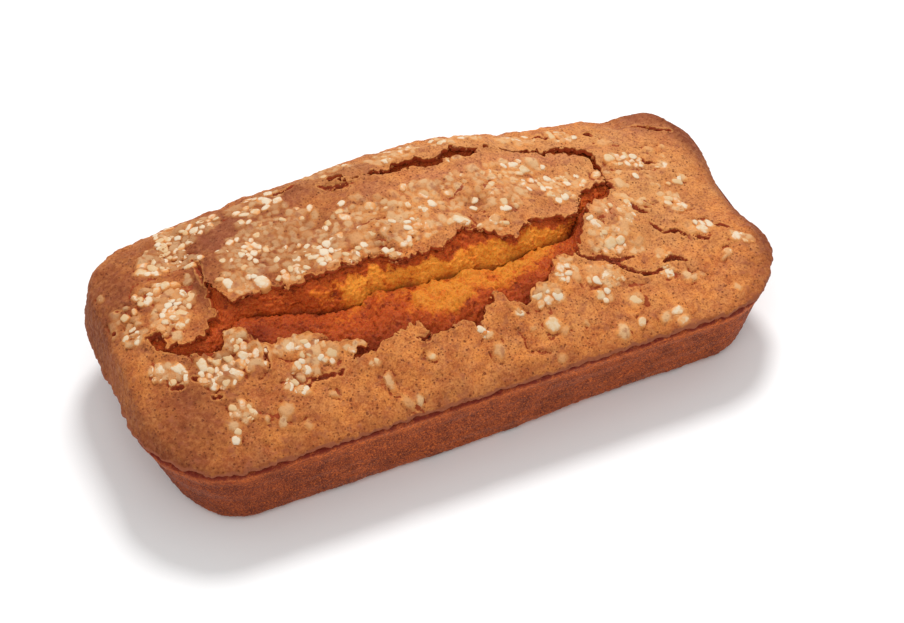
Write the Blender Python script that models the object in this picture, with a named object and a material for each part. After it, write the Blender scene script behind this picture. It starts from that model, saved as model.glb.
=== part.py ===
"""A pound cake loaf, baked in a round-cornered tin and split along its top.

The loaf is one solid. Its base and sloping sides took the shape of the tin, its
rim is a small lip where the batter rose over the tin's edge, and its crown is a
dome that burst open: a long split in front of a raised plate of crust, and a
narrow crack behind that plate. X runs along the loaf, the wide split faces -Y,
and Z is up. Sizes are in millimetres, and MM turns them into Blender's metres.
"""

import bmesh
import bpy
import numpy as np

MM = 0.001

# Rim outline, where the loaf leaves the tin.
RIM_LENGTH = 210.0
RIM_WIDTH = 98.4
CORNER_RADIUS = 27.8
RIM_HEIGHT = 27.6

# The dome's highest point above the rim.
CROWN_RISE = 26.7

# Shares of the crown's rise, from the front rim to the back rim and from the
# left rim to the right rim, at shares of the half width and half length.
ACROSS = (
    (-1.0, 0.0), (-0.94, 0.10), (-0.82, 0.26), (-0.61, 0.45), (-0.41, 0.64), (-0.18, 0.86),
    (0.0, 0.95), (0.24, 1.0), (0.49, 0.98), (0.69, 0.94), (0.86, 0.76), (0.96, 0.38), (1.0, 0.0),
)
ALONG = (
    (-1.0, 0.0), (-0.97, 0.40), (-0.90, 0.56), (-0.80, 0.64), (-0.65, 0.75), (-0.40, 0.88),
    (-0.10, 0.98), (0.20, 0.93), (0.45, 0.61), (0.60, 0.48), (0.75, 0.34), (0.88, 0.21),
    (0.96, 0.13), (1.0, 0.0),
)

# The torn edges and creases, as y at x from the left rim to the right rim.
FRONT_EDGE = (
    (-105, -22), (-96, -14), (-91, -8), (-84, -13), (-75, -13), (-71, -10), (-66, -13), (-61, -19),
    (-52, -19), (-43, -22), (-40, -27), (-33, -26), (-25, -29), (-18, -27), (-14, -31), (0, -32),
    (9, -28), (12, -26), (15, -31), (22, -29), (30, -26), (34, -20), (41, -17), (47, -9), (51, -4),
    (61, 2), (65, 7), (75, -6), (105, -22),
)
CREASE = (
    (-105, -10), (-91, -6), (-80, -10), (-71, -6), (-63, -5), (-49, -7), (-38, -9), (-26, -9),
    (-22, -7), (-10, -9), (4, -10), (17, -12), (31, -11), (40, -9), (48, -3), (58, 4), (65, 8),
    (75, 0), (105, -10),
)
PLATE_FRONT = (
    (-105, 0), (-96, -1), (-91, -4), (-84, -8), (-75, -6), (-71, -2), (-66, 0), (-58, -2),
    (-43, -4), (-33, -4.5), (-27, -7.5), (-20, -4), (-14, -8.5), (-6, -8), (3, -8), (9, -4),
    (15, -7), (23, -10.5), (30, -7), (40, -4.5), (47, -3), (50, 3), (58, 7), (65, 9), (75, 8),
    (105, 4),
)
PLATE_BACK = (
    (-105, 20), (-45, 26), (-30, 29), (-15, 25), (-5, 25), (9, 23), (20, 26), (30, 26.5), (40, 25),
    (55, 24), (60, 22), (63, 19), (66, 13), (75, 18), (105, 20),
)
BACK_EDGE = (
    (-105, 26), (-45, 28), (-30, 31), (-15, 28), (-8, 29.5), (9, 31), (13, 28), (20, 32), (28, 30),
    (37, 28), (58, 28), (63, 25), (66, 18), (75, 24), (105, 26),
)

# How far each opening reaches along x: shut, then open, then shut again.
SPLIT_ENDS = ((-92, 0.0), (-84, 0.55), (-66, 0.7), (-45, 0.9), (-30, 1.0), (18, 1.0), (42, 0.7), (58, 0.5), (66, 0.0))
CRACK_ENDS = ((-31, 0.0), (-20, 0.6), (0, 1.0), (30, 0.8), (58, 0.8), (67, 0.0))

CRUST_THICKNESS = 1.5
SPLIT_DEPTH = 8.5
CRACK_DEPTH = 3.2
BACK_BANK_RISE = 1.4
EDGE_SLANT = 0.35

# Lumps on the rim: (x, y) of the middle, reach outwards, rise, and spread.
RIM_LUMPS = (
    (98.0, 42.0, 0.8, 3.8, 4.6),
    (105.0, 34.0, 1.0, 1.7, 5.0),
    (106.0, 24.0, 1.2, 0.0, 8.0),
    (84.0, 46.0, 0.0, -1.6, 5.0),
    (105.0, -24.0, 1.4, 0.0, 7.0),
    (105.0, -3.0, -1.5, -0.6, 9.0),
    (-105.0, -22.0, 0.4, 0.0, 6.0),
    (-101.0, -38.0, -1.3, 0.0, 9.0),
)

# How far the foot of the side is drawn in at the left end and at the right end,
# and how far it bulges out along the front, with where along x each starts.
LEFT_DRAWN_IN = 4.4
RIGHT_DRAWN_IN = 1.2
ENDS_START = 70.0
FRONT_BULGE = 2.3
FRONT_ENDS = ((-105.0, 0.2), (-90.0, 1.0), (-5.0, 1.0), (50.0, 0.0), (105.0, 0.0))

# The side from the lip down to the base: outset from the rim outline, height,
# and the share of a rim lump that is still felt there.
SIDE_RINGS = (
    (0.7, 26.2, 1.0),
    (-0.7, 24.6, 0.3),
    (-3.2, 13.5, 0.0),
    (-5.0, 5.2, 0.0),
    (-6.6, 1.6, 0.0),
    (-9.8, 0.0, 0.0),
)

COLUMNS = 80
SHOULDER_ROWS = 5
CRUMB_ROWS = 3
PLATE_ROWS = 6
BACK_ROWS = 6

CRUST_COLOUR = (0.52, 0.21, 0.065, 1.0)
CRUST_ROUGHNESS = 0.75


def smooth_through(knots, at):
    """A curve through the knots, without overshoot between them."""
    x, y = np.array(knots, float).T
    at = np.clip(at, x[0], x[-1])
    slope = np.diff(y) / np.diff(x)
    product = slope[:-1] * slope[1:]
    total = np.where(product > 0, slope[:-1] + slope[1:], 1.0)
    inner = np.where(product > 0, 2 * product / total, 0.0)
    tangent = np.concatenate([slope[:1], inner, slope[-1:]])
    k = np.clip(np.searchsorted(x, at, side="right") - 1, 0, len(x) - 2)
    step = x[k + 1] - x[k]
    t = (at - x[k]) / step
    rise = y[k + 1] - y[k]
    bend = tangent[k] * step - rise
    unbend = rise - tangent[k + 1] * step
    return y[k] + t * rise + t * (1 - t) * (bend * (1 - t) + unbend * t)


def lump_at(x, y, lump):
    """How much of a rim lump is felt at x, y, from 0 to 1."""
    centre_x, centre_y, _, _, spread = lump
    return np.exp(-((x - centre_x) ** 2 + (y - centre_y) ** 2) / (2 * spread**2))


def rim_height(x, y):
    """Height of the rim, with the corner that rose and the end that sank."""
    return RIM_HEIGHT + sum(lump[3] * lump_at(x, y, lump) for lump in RIM_LUMPS)


def crown_height(x, y):
    """Height of the unbroken dome over x, y of the square-cornered plan."""
    across = smooth_through(ACROSS, y / (RIM_WIDTH / 2))
    along = smooth_through(ALONG, x / (RIM_LENGTH / 2))
    return rim_height(x, y) + CROWN_RISE * across * along


def round_corners(x, y):
    """Carries the square-cornered plan onto the rounded rim outline."""
    over_x = np.clip((np.abs(x) - (RIM_LENGTH / 2 - CORNER_RADIUS)) / CORNER_RADIUS, 0, 1)
    over_y = np.clip((np.abs(y) - (RIM_WIDTH / 2 - CORNER_RADIUS)) / CORNER_RADIUS, 0, 1)
    pull_x = CORNER_RADIUS * over_x * (1 - np.sqrt(1 - over_y**2 / 2))
    pull_y = CORNER_RADIUS * over_y * (1 - np.sqrt(1 - over_x**2 / 2))
    return x - np.sign(x) * pull_x, y - np.sign(y) * pull_y


def outward(x, y):
    """Unit direction pointing out of the rim outline nearest to x, y."""
    dx = np.sign(x) * np.maximum(np.abs(x) - (RIM_LENGTH / 2 - CORNER_RADIUS), 1e-9)
    dy = np.sign(y) * np.maximum(np.abs(y) - (RIM_WIDTH / 2 - CORNER_RADIUS), 1e-9)
    length = np.hypot(dx, dy)
    return dx / length, dy / length


def spread_rows(start, end, count, ends=True):
    """Rows of y evenly spaced from one edge to the other."""
    shares = np.linspace(0, 1, count + 1)[:, None]
    rows = start + (end - start) * shares
    return rows if ends else rows[1:-1]


def crown_rows(x):
    """The crown's rows, front to back, as arrays of y and z over the columns."""
    front, crease, plate, back, bank = (
        smooth_through(knots, x) for knots in (FRONT_EDGE, CREASE, PLATE_FRONT, PLATE_BACK, BACK_EDGE)
    )
    split = smooth_through(SPLIT_ENDS, x)
    crack = smooth_through(CRACK_ENDS, x)
    rows = []

    def add(y, drop):
        rows.append((y, crown_height(x, y) - drop))

    half_width = RIM_WIDTH / 2
    for y in spread_rows(np.full_like(x, -half_width), front, SHOULDER_ROWS):
        add(y, 0.0)
    crust = CRUST_THICKNESS * split
    depth = SPLIT_DEPTH * split
    add(front + EDGE_SLANT, crust)
    shares = np.linspace(0, 1, CRUMB_ROWS + 1)[1:]
    for share in shares:
        add(front + EDGE_SLANT + (crease - front - EDGE_SLANT) * share, crust + (depth - crust) * share**2)
    for share in shares[:-1]:
        add(crease + (plate - crease) * share, crust + (depth - crust) * (1 - share) ** 2)
    add(plate - EDGE_SLANT, crust)
    for y in spread_rows(plate, back, PLATE_ROWS):
        add(y, 0.0)
    gap = (bank - back) / 3
    add(back + gap, CRACK_DEPTH * crack)
    add(bank - gap, CRACK_DEPTH * crack)
    reach = half_width - bank
    for y in spread_rows(bank, np.full_like(x, half_width), BACK_ROWS):
        fade = (1 - (y - bank) / reach) ** 2
        add(y, -BACK_BANK_RISE * crack * fade)
    return rows


def crown_points():
    """Points of the crown as an array of rows by columns by x, y, z."""
    plan_x = np.linspace(-RIM_LENGTH / 2, RIM_LENGTH / 2, COLUMNS + 1)
    points = []
    for plan_y, height in crown_rows(plan_x):
        x, y = round_corners(plan_x, plan_y)
        points.append(np.stack([x, y, height], axis=1))
    return np.array(points)


def push_rim(x, y):
    """How far the rim's lumps carry a point outwards."""
    reach = sum(lump[2] * lump_at(x, y, lump) for lump in RIM_LUMPS)
    out_x, out_y = outward(x, y)
    return out_x * reach, out_y * reach


def place_crown(bm):
    """A flat grid whose points are moved onto the crown."""
    points = crown_points()
    rows, columns = points.shape[:2]
    bmesh.ops.create_grid(bm, x_segments=columns - 1, y_segments=rows - 1, size=1)
    for vert in bm.verts:
        column = round((vert.co.x + 1) / 2 * (columns - 1))
        row = round((vert.co.y + 1) / 2 * (rows - 1))
        x, y, z = points[row, column]
        push_x, push_y = push_rim(x, y)
        vert.co = (x + push_x, y + push_y, z)


def extrude_side(bm):
    """Runs the rim down to the base, one ring at a time, and closes the base."""
    last_outset = 0.0
    last_share = 1.0
    for outset, height, share in SIDE_RINGS:
        rim = [edge for edge in bm.edges if edge.is_boundary]
        made = bmesh.ops.extrude_edge_only(bm, edges=rim)["geom"]
        for vert in (item for item in made if isinstance(item, bmesh.types.BMVert)):
            x, y, _ = vert.co
            out_x, out_y = outward(x, y)
            push_x, push_y = push_rim(x, y)
            kept = share - last_share
            x += out_x * (outset - last_outset) + push_x * kept
            y += out_y * (outset - last_outset) + push_y * kept
            vert.co = (x, y, height + share * (rim_height(x, y) - RIM_HEIGHT))
        last_outset = outset
        last_share = share
    bmesh.ops.holes_fill(bm, edges=[edge for edge in bm.edges if edge.is_boundary], sides=0)


def lean_side(bm):
    """Draws in the ends of the side, and bulges its front, more towards the foot."""
    for vert in bm.verts:
        x, y, z = vert.co
        share = 1 - z / SIDE_RINGS[0][1]
        if share <= 0:
            continue
        end = np.clip((abs(x) - ENDS_START) / (RIM_LENGTH / 2 - ENDS_START), 0, 1)
        drawn = LEFT_DRAWN_IN if x < 0 else RIGHT_DRAWN_IN
        vert.co.x -= np.sign(x) * drawn * end * share
        front = np.clip((-y - 20) / 20, 0, 1)
        vert.co.y -= FRONT_BULGE * front * share * smooth_through(FRONT_ENDS, x)


def settle(bm):
    """Puts the middle of the base at the origin and turns to metres."""
    points = np.array([vert.co for vert in bm.verts])
    lowest, highest = points.min(axis=0), points.max(axis=0)
    origin = (lowest + highest) / 2
    origin[2] = lowest[2]
    for vert in bm.verts:
        vert.co = [(value - start) * MM for value, start in zip(vert.co, origin)]


def crust_material():
    material = bpy.data.materials.new("baked_crust")
    material.use_nodes = True
    shader = material.node_tree.nodes["Principled BSDF"]
    shader.inputs["Base Color"].default_value = CRUST_COLOUR
    shader.inputs["Roughness"].default_value = CRUST_ROUGHNESS
    shader.inputs["Metallic"].default_value = 0.0
    return material


def make_loaf(collection):
    bm = bmesh.new()
    place_crown(bm)
    extrude_side(bm)
    lean_side(bm)
    bmesh.ops.recalc_face_normals(bm, faces=bm.faces)
    settle(bm)
    mesh = bpy.data.meshes.new("loaf")
    bm.to_mesh(mesh)
    bm.free()
    mesh.shade_smooth()
    mesh.set_sharp_from_angle(angle=np.radians(50))
    mesh.materials.append(crust_material())
    collection.objects.link(bpy.data.objects.new("loaf", mesh))


def clear_scene():
    for obj in list(bpy.data.objects):
        bpy.data.objects.remove(obj)


def main():
    clear_scene()
    collection = bpy.data.collections.new("pound_cake_loaf")
    bpy.context.scene.collection.children.link(collection)
    make_loaf(collection)


main()
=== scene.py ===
"""The looks of a pound cake loaf: crust, torn split, crumb and pearl sugar.

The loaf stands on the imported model's place and size. Its crown is a dome of thin
crust that burst open while it baked; under the tears lies soft crumb, and lumps of
pearl sugar are baked into the crust in drifts. All sizes in the classes are in
millimetres, X along the loaf, the wide split towards -Y, Z up.
"""

import logging
import math
from dataclasses import dataclass, field
from enum import Enum
from typing import ClassVar

import bmesh
import bpy
import numpy as np
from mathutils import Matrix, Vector
from mathutils.geometry import delaunay_2d_cdt


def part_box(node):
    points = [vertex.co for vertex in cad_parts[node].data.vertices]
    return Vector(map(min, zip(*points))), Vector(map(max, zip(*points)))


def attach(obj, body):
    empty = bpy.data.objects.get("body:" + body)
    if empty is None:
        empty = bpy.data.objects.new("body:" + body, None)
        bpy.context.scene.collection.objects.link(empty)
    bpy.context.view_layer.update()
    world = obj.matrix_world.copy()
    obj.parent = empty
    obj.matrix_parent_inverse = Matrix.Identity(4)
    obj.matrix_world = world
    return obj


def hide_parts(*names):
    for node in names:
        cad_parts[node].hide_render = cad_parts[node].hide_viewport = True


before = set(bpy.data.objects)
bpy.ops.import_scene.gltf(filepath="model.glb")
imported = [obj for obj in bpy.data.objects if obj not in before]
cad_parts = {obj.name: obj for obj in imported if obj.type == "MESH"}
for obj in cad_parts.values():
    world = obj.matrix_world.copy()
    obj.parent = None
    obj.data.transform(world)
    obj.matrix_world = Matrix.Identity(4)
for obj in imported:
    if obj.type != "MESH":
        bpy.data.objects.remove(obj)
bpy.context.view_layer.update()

MM = 0.001
CAD_LOAF = "loaf"
ROOT_BODY = "root"
Array = np.ndarray
log = logging.getLogger("pound_cake_loaf")


# ---------------------------------------------------------------- shared tools


def fade(values: Array, start: float, end: float) -> Array:
    """Goes smoothly from 0 at start to 1 at end."""
    share = np.clip((values - start) / (end - start), 0.0, 1.0)
    return share * share * (3.0 - 2.0 * share)


def bell(distance: Array, spread: float) -> Array:
    """A bell curve that is 1 at distance 0."""
    return np.exp(-0.5 * (distance / spread) ** 2)


@dataclass(frozen=True)
class Curve:
    """A smooth line through knots, each (position, value), without overshoot."""

    knots: tuple[tuple[float, float], ...]

    def at(self, where: Array) -> Array:
        """Reads the line.

        Args:
            where: positions, held to the range of the knots.

        Returns:
            The line's value at each position.
        """
        x, y = np.array(self.knots, float).T
        where = np.clip(where, x[0], x[-1])
        slope = np.diff(y) / np.diff(x)
        product = slope[:-1] * slope[1:]
        total = np.where(product > 0, slope[:-1] + slope[1:], 1.0)
        inner = np.where(product > 0, 2 * product / total, 0.0)
        tangent = np.concatenate([slope[:1], inner, slope[-1:]])
        k = np.clip(np.searchsorted(x, where, side="right") - 1, 0, len(x) - 2)
        step = x[k + 1] - x[k]
        t = (where - x[k]) / step
        rise = y[k + 1] - y[k]
        bend = tangent[k] * step - rise
        unbend = rise - tangent[k + 1] * step
        return y[k] + t * rise + t * (1 - t) * (bend * (1 - t) + unbend * t)


class Unevenness:
    """Seeded bumps that vary smoothly through space."""

    CELLS = 8192

    def __init__(self, seed: int) -> None:
        """Draws the bump heights of this unevenness."""
        self.heights = np.random.default_rng(seed).uniform(-1.0, 1.0, self.CELLS)

    def at(self, points: Array, size: float) -> Array:
        """Bumps of one size.

        Args:
            points: N by 3 places in millimetres.
            size: distance between neighbouring bumps.

        Returns:
            A value from about -1 to 1 for each place.
        """
        scaled = points / size
        base = np.floor(scaled)
        part = scaled - base
        part = part * part * part * (part * (part * 6.0 - 15.0) + 10.0)
        base = base.astype(np.int64)
        total = np.zeros(len(points))
        for corner in np.ndindex(2, 2, 2):
            cell = base + np.array(corner)
            key = (cell[:, 0] * 73856093) ^ (cell[:, 1] * 19349663) ^ (cell[:, 2] * 83492791)
            weight = np.prod(np.where(np.array(corner) == 1, part, 1.0 - part), axis=1)
            total += weight * self.heights[key % self.CELLS]
        return total

    def layered(self, points: Array, size: float, layers: int, keep: float = 0.5) -> Array:
        """Bumps with smaller bumps on them.

        Args:
            points: N by 3 places in millimetres.
            size: size of the largest bumps.
            layers: how many sizes, each about half the one before.
            keep: share of the height that each smaller size keeps.

        Returns:
            A value from about -1 to 1 for each place.
        """
        total = np.zeros(len(points))
        height = 1.0
        for layer in range(layers):
            turned = points[:, [layer % 3, (layer + 1) % 3, (layer + 2) % 3]] + 37.7 * layer
            total += height * self.at(turned, size)
            size *= 0.53
            height *= keep
        return total


def outline_distance(x: Array, y: Array, outline: Array, closed: bool = True) -> Array:
    """Distance to an outline seen from above.

    Args:
        x: positions along the loaf.
        y: positions across the loaf.
        outline: M by 2 corner points.
        closed: whether the last point joins the first.

    Returns:
        Distance to the outline, negative inside it where it is closed.
    """
    ends = np.roll(outline, -1, axis=0)
    pairs = list(zip(outline, ends))[: None if closed else -1]
    nearest = np.full(x.shape, 1e9)
    inside = np.zeros(x.shape, bool)
    for (ax, ay), (bx, by) in pairs:
        dx, dy = bx - ax, by - ay
        t = np.clip(((x - ax) * dx + (y - ay) * dy) / (dx * dx + dy * dy), 0, 1)
        nearest = np.minimum(nearest, np.hypot(x - ax - t * dx, y - ay - t * dy))
        if closed and ay != by:
            crosses = (ay > y) != (by > y)
            inside ^= crosses & (x < dx * (y - ay) / dy + ax)
    return np.where(inside, -nearest, nearest)


def round_ball(detail: int) -> tuple[Array, Array]:
    """A round ball of triangles: its points and its faces."""
    bm = bmesh.new()
    bmesh.ops.create_icosphere(bm, subdivisions=detail, radius=1.0)
    points = np.array([vert.co for vert in bm.verts])
    faces = np.array([[vert.index for vert in face.verts] for face in bm.faces])
    bm.free()
    return points, faces


def boundary_edges(faces: Array, count: int) -> Array:
    """Edges that only one face uses, in that face's direction."""
    tails = faces.reshape(-1)
    heads = np.roll(faces, -1, axis=1).reshape(-1)
    alone = ~np.isin(tails * count + heads, heads * count + tails)
    return np.stack([tails[alone], heads[alone]], axis=1)


@dataclass
class Sheet:
    """A surface as numbers: places in millimetres, faces, and named masks."""

    points: Array
    faces: Array
    masks: dict[str, Array] = field(default_factory=dict)

    def hem(self, offsets: list[Array], changes: dict[str, Array]) -> None:
        """Runs the open edges on by rings of new faces.

        Args:
            offsets: for each ring, the moves of all points from the surface.
            changes: masks that change, with what each ring adds at every point.
        """
        rim = boundary_edges(self.faces, len(self.points))
        source = np.unique(rim)
        start = self.points[source]
        masks = {name: values[source] for name, values in self.masks.items()}
        steps = {name: values[source] for name, values in changes.items()}
        order = np.zeros(len(self.points), int)
        order[source] = np.arange(len(source))
        ends = order[rim]
        above = rim
        faces = [self.faces]
        points = [self.points]
        count = len(self.points)
        for ring, offset in enumerate(offsets, start=1):
            below = ends + count
            faces.append(np.stack([above[:, 1], above[:, 0], below[:, 0]], axis=1))
            faces.append(np.stack([above[:, 1], below[:, 0], below[:, 1]], axis=1))
            points.append(start + offset[source])
            for name, values in masks.items():
                added = np.clip(values + ring * steps.get(name, 0.0), 0.0, 1.0)
                self.masks[name] = np.concatenate([self.masks[name], added])
            above = below
            count += len(source)
        self.points = np.concatenate(points)
        self.faces = np.concatenate(faces)

    def piece(self, name: str, sharp: float = 55.0) -> bpy.types.Object:
        """Makes the surface an object.

        Args:
            name: the piece's name.
            sharp: angle in degrees above which an edge is drawn sharp.

        Returns:
            The new object, linked to the scene.
        """
        mesh = bpy.data.meshes.new(name)
        mesh.from_pydata((self.points * MM).tolist(), [], self.faces.tolist())
        for mask, values in self.masks.items():
            layer = mesh.attributes.new(mask, "FLOAT", "POINT")
            layer.data.foreach_set("value", np.ascontiguousarray(values, np.float32))
        self._fill(mesh)
        mesh.shade_smooth()
        mesh.set_sharp_from_angle(angle=math.radians(sharp))
        piece = bpy.data.objects.new(name, mesh)
        bpy.context.scene.collection.objects.link(piece)
        return piece

    @staticmethod
    def _fill(mesh: bpy.types.Mesh) -> None:
        """Fills each open loop of a mesh and points all faces outwards."""
        bm = bmesh.new()
        bm.from_mesh(mesh)
        rim = [edge for edge in bm.edges if edge.is_boundary]
        if rim:
            made = bmesh.ops.holes_fill(bm, edges=rim, sides=0)["faces"]
            bmesh.ops.triangulate(bm, faces=made)
        bmesh.ops.recalc_face_normals(bm, faces=bm.faces)
        bm.to_mesh(mesh)
        bm.free()


# ------------------------------------------------------------------- the form


@dataclass(frozen=True)
class Swell:
    """A local rise or hollow: its middle, height, and reach along and across."""

    x: float
    y: float
    rise: float
    reach_x: float
    reach_y: float

    def at(self, x: Array, y: Array) -> Array:
        """The rise at each place."""
        return self.rise * np.exp(-0.5 * (((x - self.x) / self.reach_x) ** 2 + ((y - self.y) / self.reach_y) ** 2))


@dataclass(frozen=True)
class RimLump:
    """Where the rim bulges out or draws in, and rises or sinks."""

    x: float
    y: float
    out: float
    rise: float
    spread: float

    def felt(self, x: Array, y: Array) -> Array:
        """How much of the lump is felt at each place, from 0 to 1."""
        return bell(np.hypot(x - self.x, y - self.y), self.spread)


CRUST_SWELLS = (
    # smooth mounds
    Swell(-54, 26, 1.6, 5, 3.6), Swell(-62, 14, 0.8, 6, 6), Swell(-13, 19, 1.0, 6, 3.5),
    Swell(9.5, 18, 1.3, 6, 2.8), Swell(22, 18, 1.0, 3.5, 4), Swell(44, 21, 1.2, 11, 2.6),
    Swell(37, 6, 0.6, 6, 2), Swell(-35, 31, 1.0, 7, 3), Swell(-17.5, 28, 0.9, 3, 2),
    Swell(-41, 20, 0.8, 4, 4), Swell(0, 23, 0.8, 6, 3), Swell(26, 6, 0.5, 5, 3),
    Swell(-66.5, 5, 2.0, 2.6, 8), Swell(-80, 14, 0.9, 6, 4), Swell(-84, 0, 0.8, 5, 6),
    Swell(-77, -20, 0.9, 6, 5), Swell(-68, -14, 0.8, 4, 4), Swell(-50, -24, 0.9, 9, 4),
    Swell(-24, -32, 0.6, 8, 3), Swell(9, -30, 0.9, 3.5, 4), Swell(28, -28, 0.6, 8, 4),
    Swell(57, -9, 1.2, 6, 8), Swell(48, -27, 0.8, 8, 4), Swell(75, -3, 0.7, 7, 7),
    Swell(75, 21, 0.9, 8, 4), Swell(84, -22, 0.6, 8, 5), Swell(95, -26, 0.8, 5, 5),
    Swell(0, 33, 0.9, 26, 4), Swell(30, 32, 0.6, 24, 4), Swell(-75, 36, -0.7, 16, 7),
    Swell(90, 33, 0.3, 7, 7), Swell(-88, -22, 0.6, 5, 4), Swell(76, 8, 0.7, 5, 4),
    # hollows
    Swell(16, 5, -1.2, 4, 2.6), Swell(45, 12, -0.8, 7, 3), Swell(-16, 13, -0.9, 4, 3),
    Swell(-34, 16, -1.3, 2.4, 3), Swell(-30, 5, -0.9, 4, 3), Swell(-18, 0, -1.0, 2.5, 2.5),
    Swell(-73.5, 4, -0.9, 3.2, 7), Swell(82, 43, -1.1, 9, 6), Swell(-2, 9, -0.6, 8, 3), Swell(81, 14, -0.6, 6, 1.6),
    Swell(-75, 23, -0.5, 5, 2), Swell(-46, 8, -0.6, 5, 3), Swell(60, -19, -0.6, 7, 2.4),
    Swell(-95, 4, -0.6, 3, 8), Swell(71, -13, -0.5, 3, 3),
)


@dataclass
class LoafForm:
    """The unbroken loaf: the tin's outline and the dome that rose over it."""

    length: float
    width: float
    crown_rise: float
    rim_height: float = 27.6
    corner_radius: float = 27.8
    lip: float = 0.7
    lumps: tuple[RimLump, ...] = (
        RimLump(98.0, 42.0, 0.8, 3.8, 4.6),
        RimLump(105.0, 34.0, 1.0, 1.7, 5.0),
        RimLump(106.0, 24.0, 2.6, 0.0, 9.0),
        RimLump(84.0, 46.0, 0.0, -1.6, 5.0),
        RimLump(105.0, -24.0, 1.4, 0.0, 7.0),
        RimLump(105.0, -3.0, -1.5, -0.6, 9.0),
        RimLump(-105.0, -22.0, 0.4, 0.0, 6.0),
        RimLump(-101.0, -38.0, -1.3, 0.0, 9.0),
    )
    across: Curve = Curve((
        (-1.0, 0.0), (-0.94, 0.10), (-0.82, 0.26), (-0.61, 0.45), (-0.41, 0.64), (-0.18, 0.86),
        (0.0, 0.95), (0.24, 1.0), (0.49, 0.98), (0.69, 0.94), (0.86, 0.76), (0.96, 0.38), (1.0, 0.0),
    ))
    along: Curve = Curve((
        (-1.0, 0.0), (-0.97, 0.40), (-0.90, 0.56), (-0.80, 0.64), (-0.65, 0.75), (-0.40, 0.88),
        (-0.10, 0.98), (0.20, 0.93), (0.45, 0.61), (0.60, 0.48), (0.75, 0.34), (0.88, 0.21),
        (0.96, 0.13), (1.0, 0.0),
    ))
    front_bulge: Curve = Curve(((-105, 0.5), (-90, 2.3), (-5, 2.3), (50, 0.0), (105, 0.0)))
    swells: tuple[Swell, ...] = CRUST_SWELLS
    waves: Unevenness = field(default_factory=lambda: Unevenness(3))

    @classmethod
    def from_frame(cls) -> "LoafForm":
        """Takes the loaf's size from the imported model."""
        low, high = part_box(CAD_LOAF)
        lumps_and_lip, lips, rim = 3.4, 1.5, 27.6
        return cls(
            length=(high.x - low.x) / MM - lumps_and_lip,
            width=(high.y - low.y) / MM - lips,
            crown_rise=high.z / MM - rim + 0.2,
        )

    def height(self, x: Array, y: Array) -> Array:
        """Height of the dome over the square-cornered plan."""
        across = self.across.at(2 * y / self.width)
        along = self.along.at(2 * x / self.length)
        return self.rim(x, y) + self.crown_rise * across * along

    def rim(self, x: Array, y: Array) -> Array:
        """Height of the rim near each place."""
        return self.rim_height + sum(lump.rise * lump.felt(x, y) for lump in self.lumps)

    def rounded(self, x: Array, y: Array) -> tuple[Array, Array]:
        """Carries the square-cornered plan onto the tin's rounded outline."""
        radius = self.corner_radius
        over_x = np.clip((np.abs(x) - (self.length / 2 - radius)) / radius, 0, 1)
        over_y = np.clip((np.abs(y) - (self.width / 2 - radius)) / radius, 0, 1)
        pull_x = radius * over_x * (1 - np.sqrt(1 - over_y**2 / 2))
        pull_y = radius * over_y * (1 - np.sqrt(1 - over_x**2 / 2))
        return x - np.sign(x) * pull_x, y - np.sign(y) * pull_y

    def outward(self, x: Array, y: Array) -> tuple[Array, Array]:
        """Direction out of the rim nearest to each place."""
        dx = np.sign(x) * np.maximum(np.abs(x) - (self.length / 2 - self.corner_radius), 1e-9)
        dy = np.sign(y) * np.maximum(np.abs(y) - (self.width / 2 - self.corner_radius), 1e-9)
        size = np.hypot(dx, dy)
        return dx / size, dy / size

    def pushed(self, x: Array, y: Array, share: float = 1.0) -> tuple[Array, Array]:
        """Places moved outwards by the rim's lumps."""
        reach = share * sum(lump.out * lump.felt(x, y) for lump in self.lumps)
        out_x, out_y = self.outward(x, y)
        return x + out_x * reach, y + out_y * reach

    def surface(self, x: Array, y: Array) -> Array:
        """The dome as places in space.

        Args:
            x: square-cornered plan positions along the loaf.
            y: square-cornered plan positions across the loaf.

        Returns:
            Places on the dome, in the shape of x with a last axis of 3.
        """
        z = self.height(x, y)
        edge = np.minimum(self.length / 2 - np.abs(x), self.width / 2 - np.abs(y))
        calm = fade(edge, 0.0, 6.0)
        x, y = self.pushed(*self.rounded(x, y))
        z = z + calm * sum(swell.at(x, y) for swell in self.swells)
        flat = np.stack([x.reshape(-1), y.reshape(-1), np.zeros(x.size)], axis=1)
        back = fade(y, 26.0, 34.0)
        z = z + 0.55 * back * calm * self.waves.layered(flat + 60.0, 6.0, 2, 0.6).reshape(x.shape)
        z = z + 0.60 * calm * self.waves.layered(flat, 15.0, 4, 0.5).reshape(x.shape)
        return np.stack([x, y, z], axis=-1)

    def lean(self, points: Array) -> Array:
        """Draws in the ends of the side and bulges its front, more towards the foot."""
        x, y, z = points.T
        share = np.clip(1.0 - z / 26.2, 0.0, 1.0)
        end = fade(np.abs(x), 62.0, 108.0)
        drawn = np.where(x < 0, 4.4, 1.2)
        bulge = self.front_bulge.at(x) * fade(-y, 20.0, 40.0)
        return np.stack([x - np.sign(x) * drawn * end * share, y - bulge * share, z], axis=1)

    def even_steps(self, count: int, lengthwise: bool) -> Array:
        """Plan positions that lie evenly along the dome's own curve.

        Args:
            count: how many steps.
            lengthwise: along the loaf, or else across it.

        Returns:
            count + 1 plan positions from rim to rim.
        """
        half = (self.length if lengthwise else self.width) / 2
        fine = np.linspace(-half, half, 4001)
        zero = np.zeros_like(fine)
        z = self.height(fine, zero) if lengthwise else self.height(zero, fine)
        run = np.concatenate([[0.0], np.cumsum(np.hypot(np.diff(fine), 0.8 * np.diff(z)))])
        return np.interp(np.linspace(0, run[-1], count + 1), run, fine)


# ------------------------------------------------------------------- the tears


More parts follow.
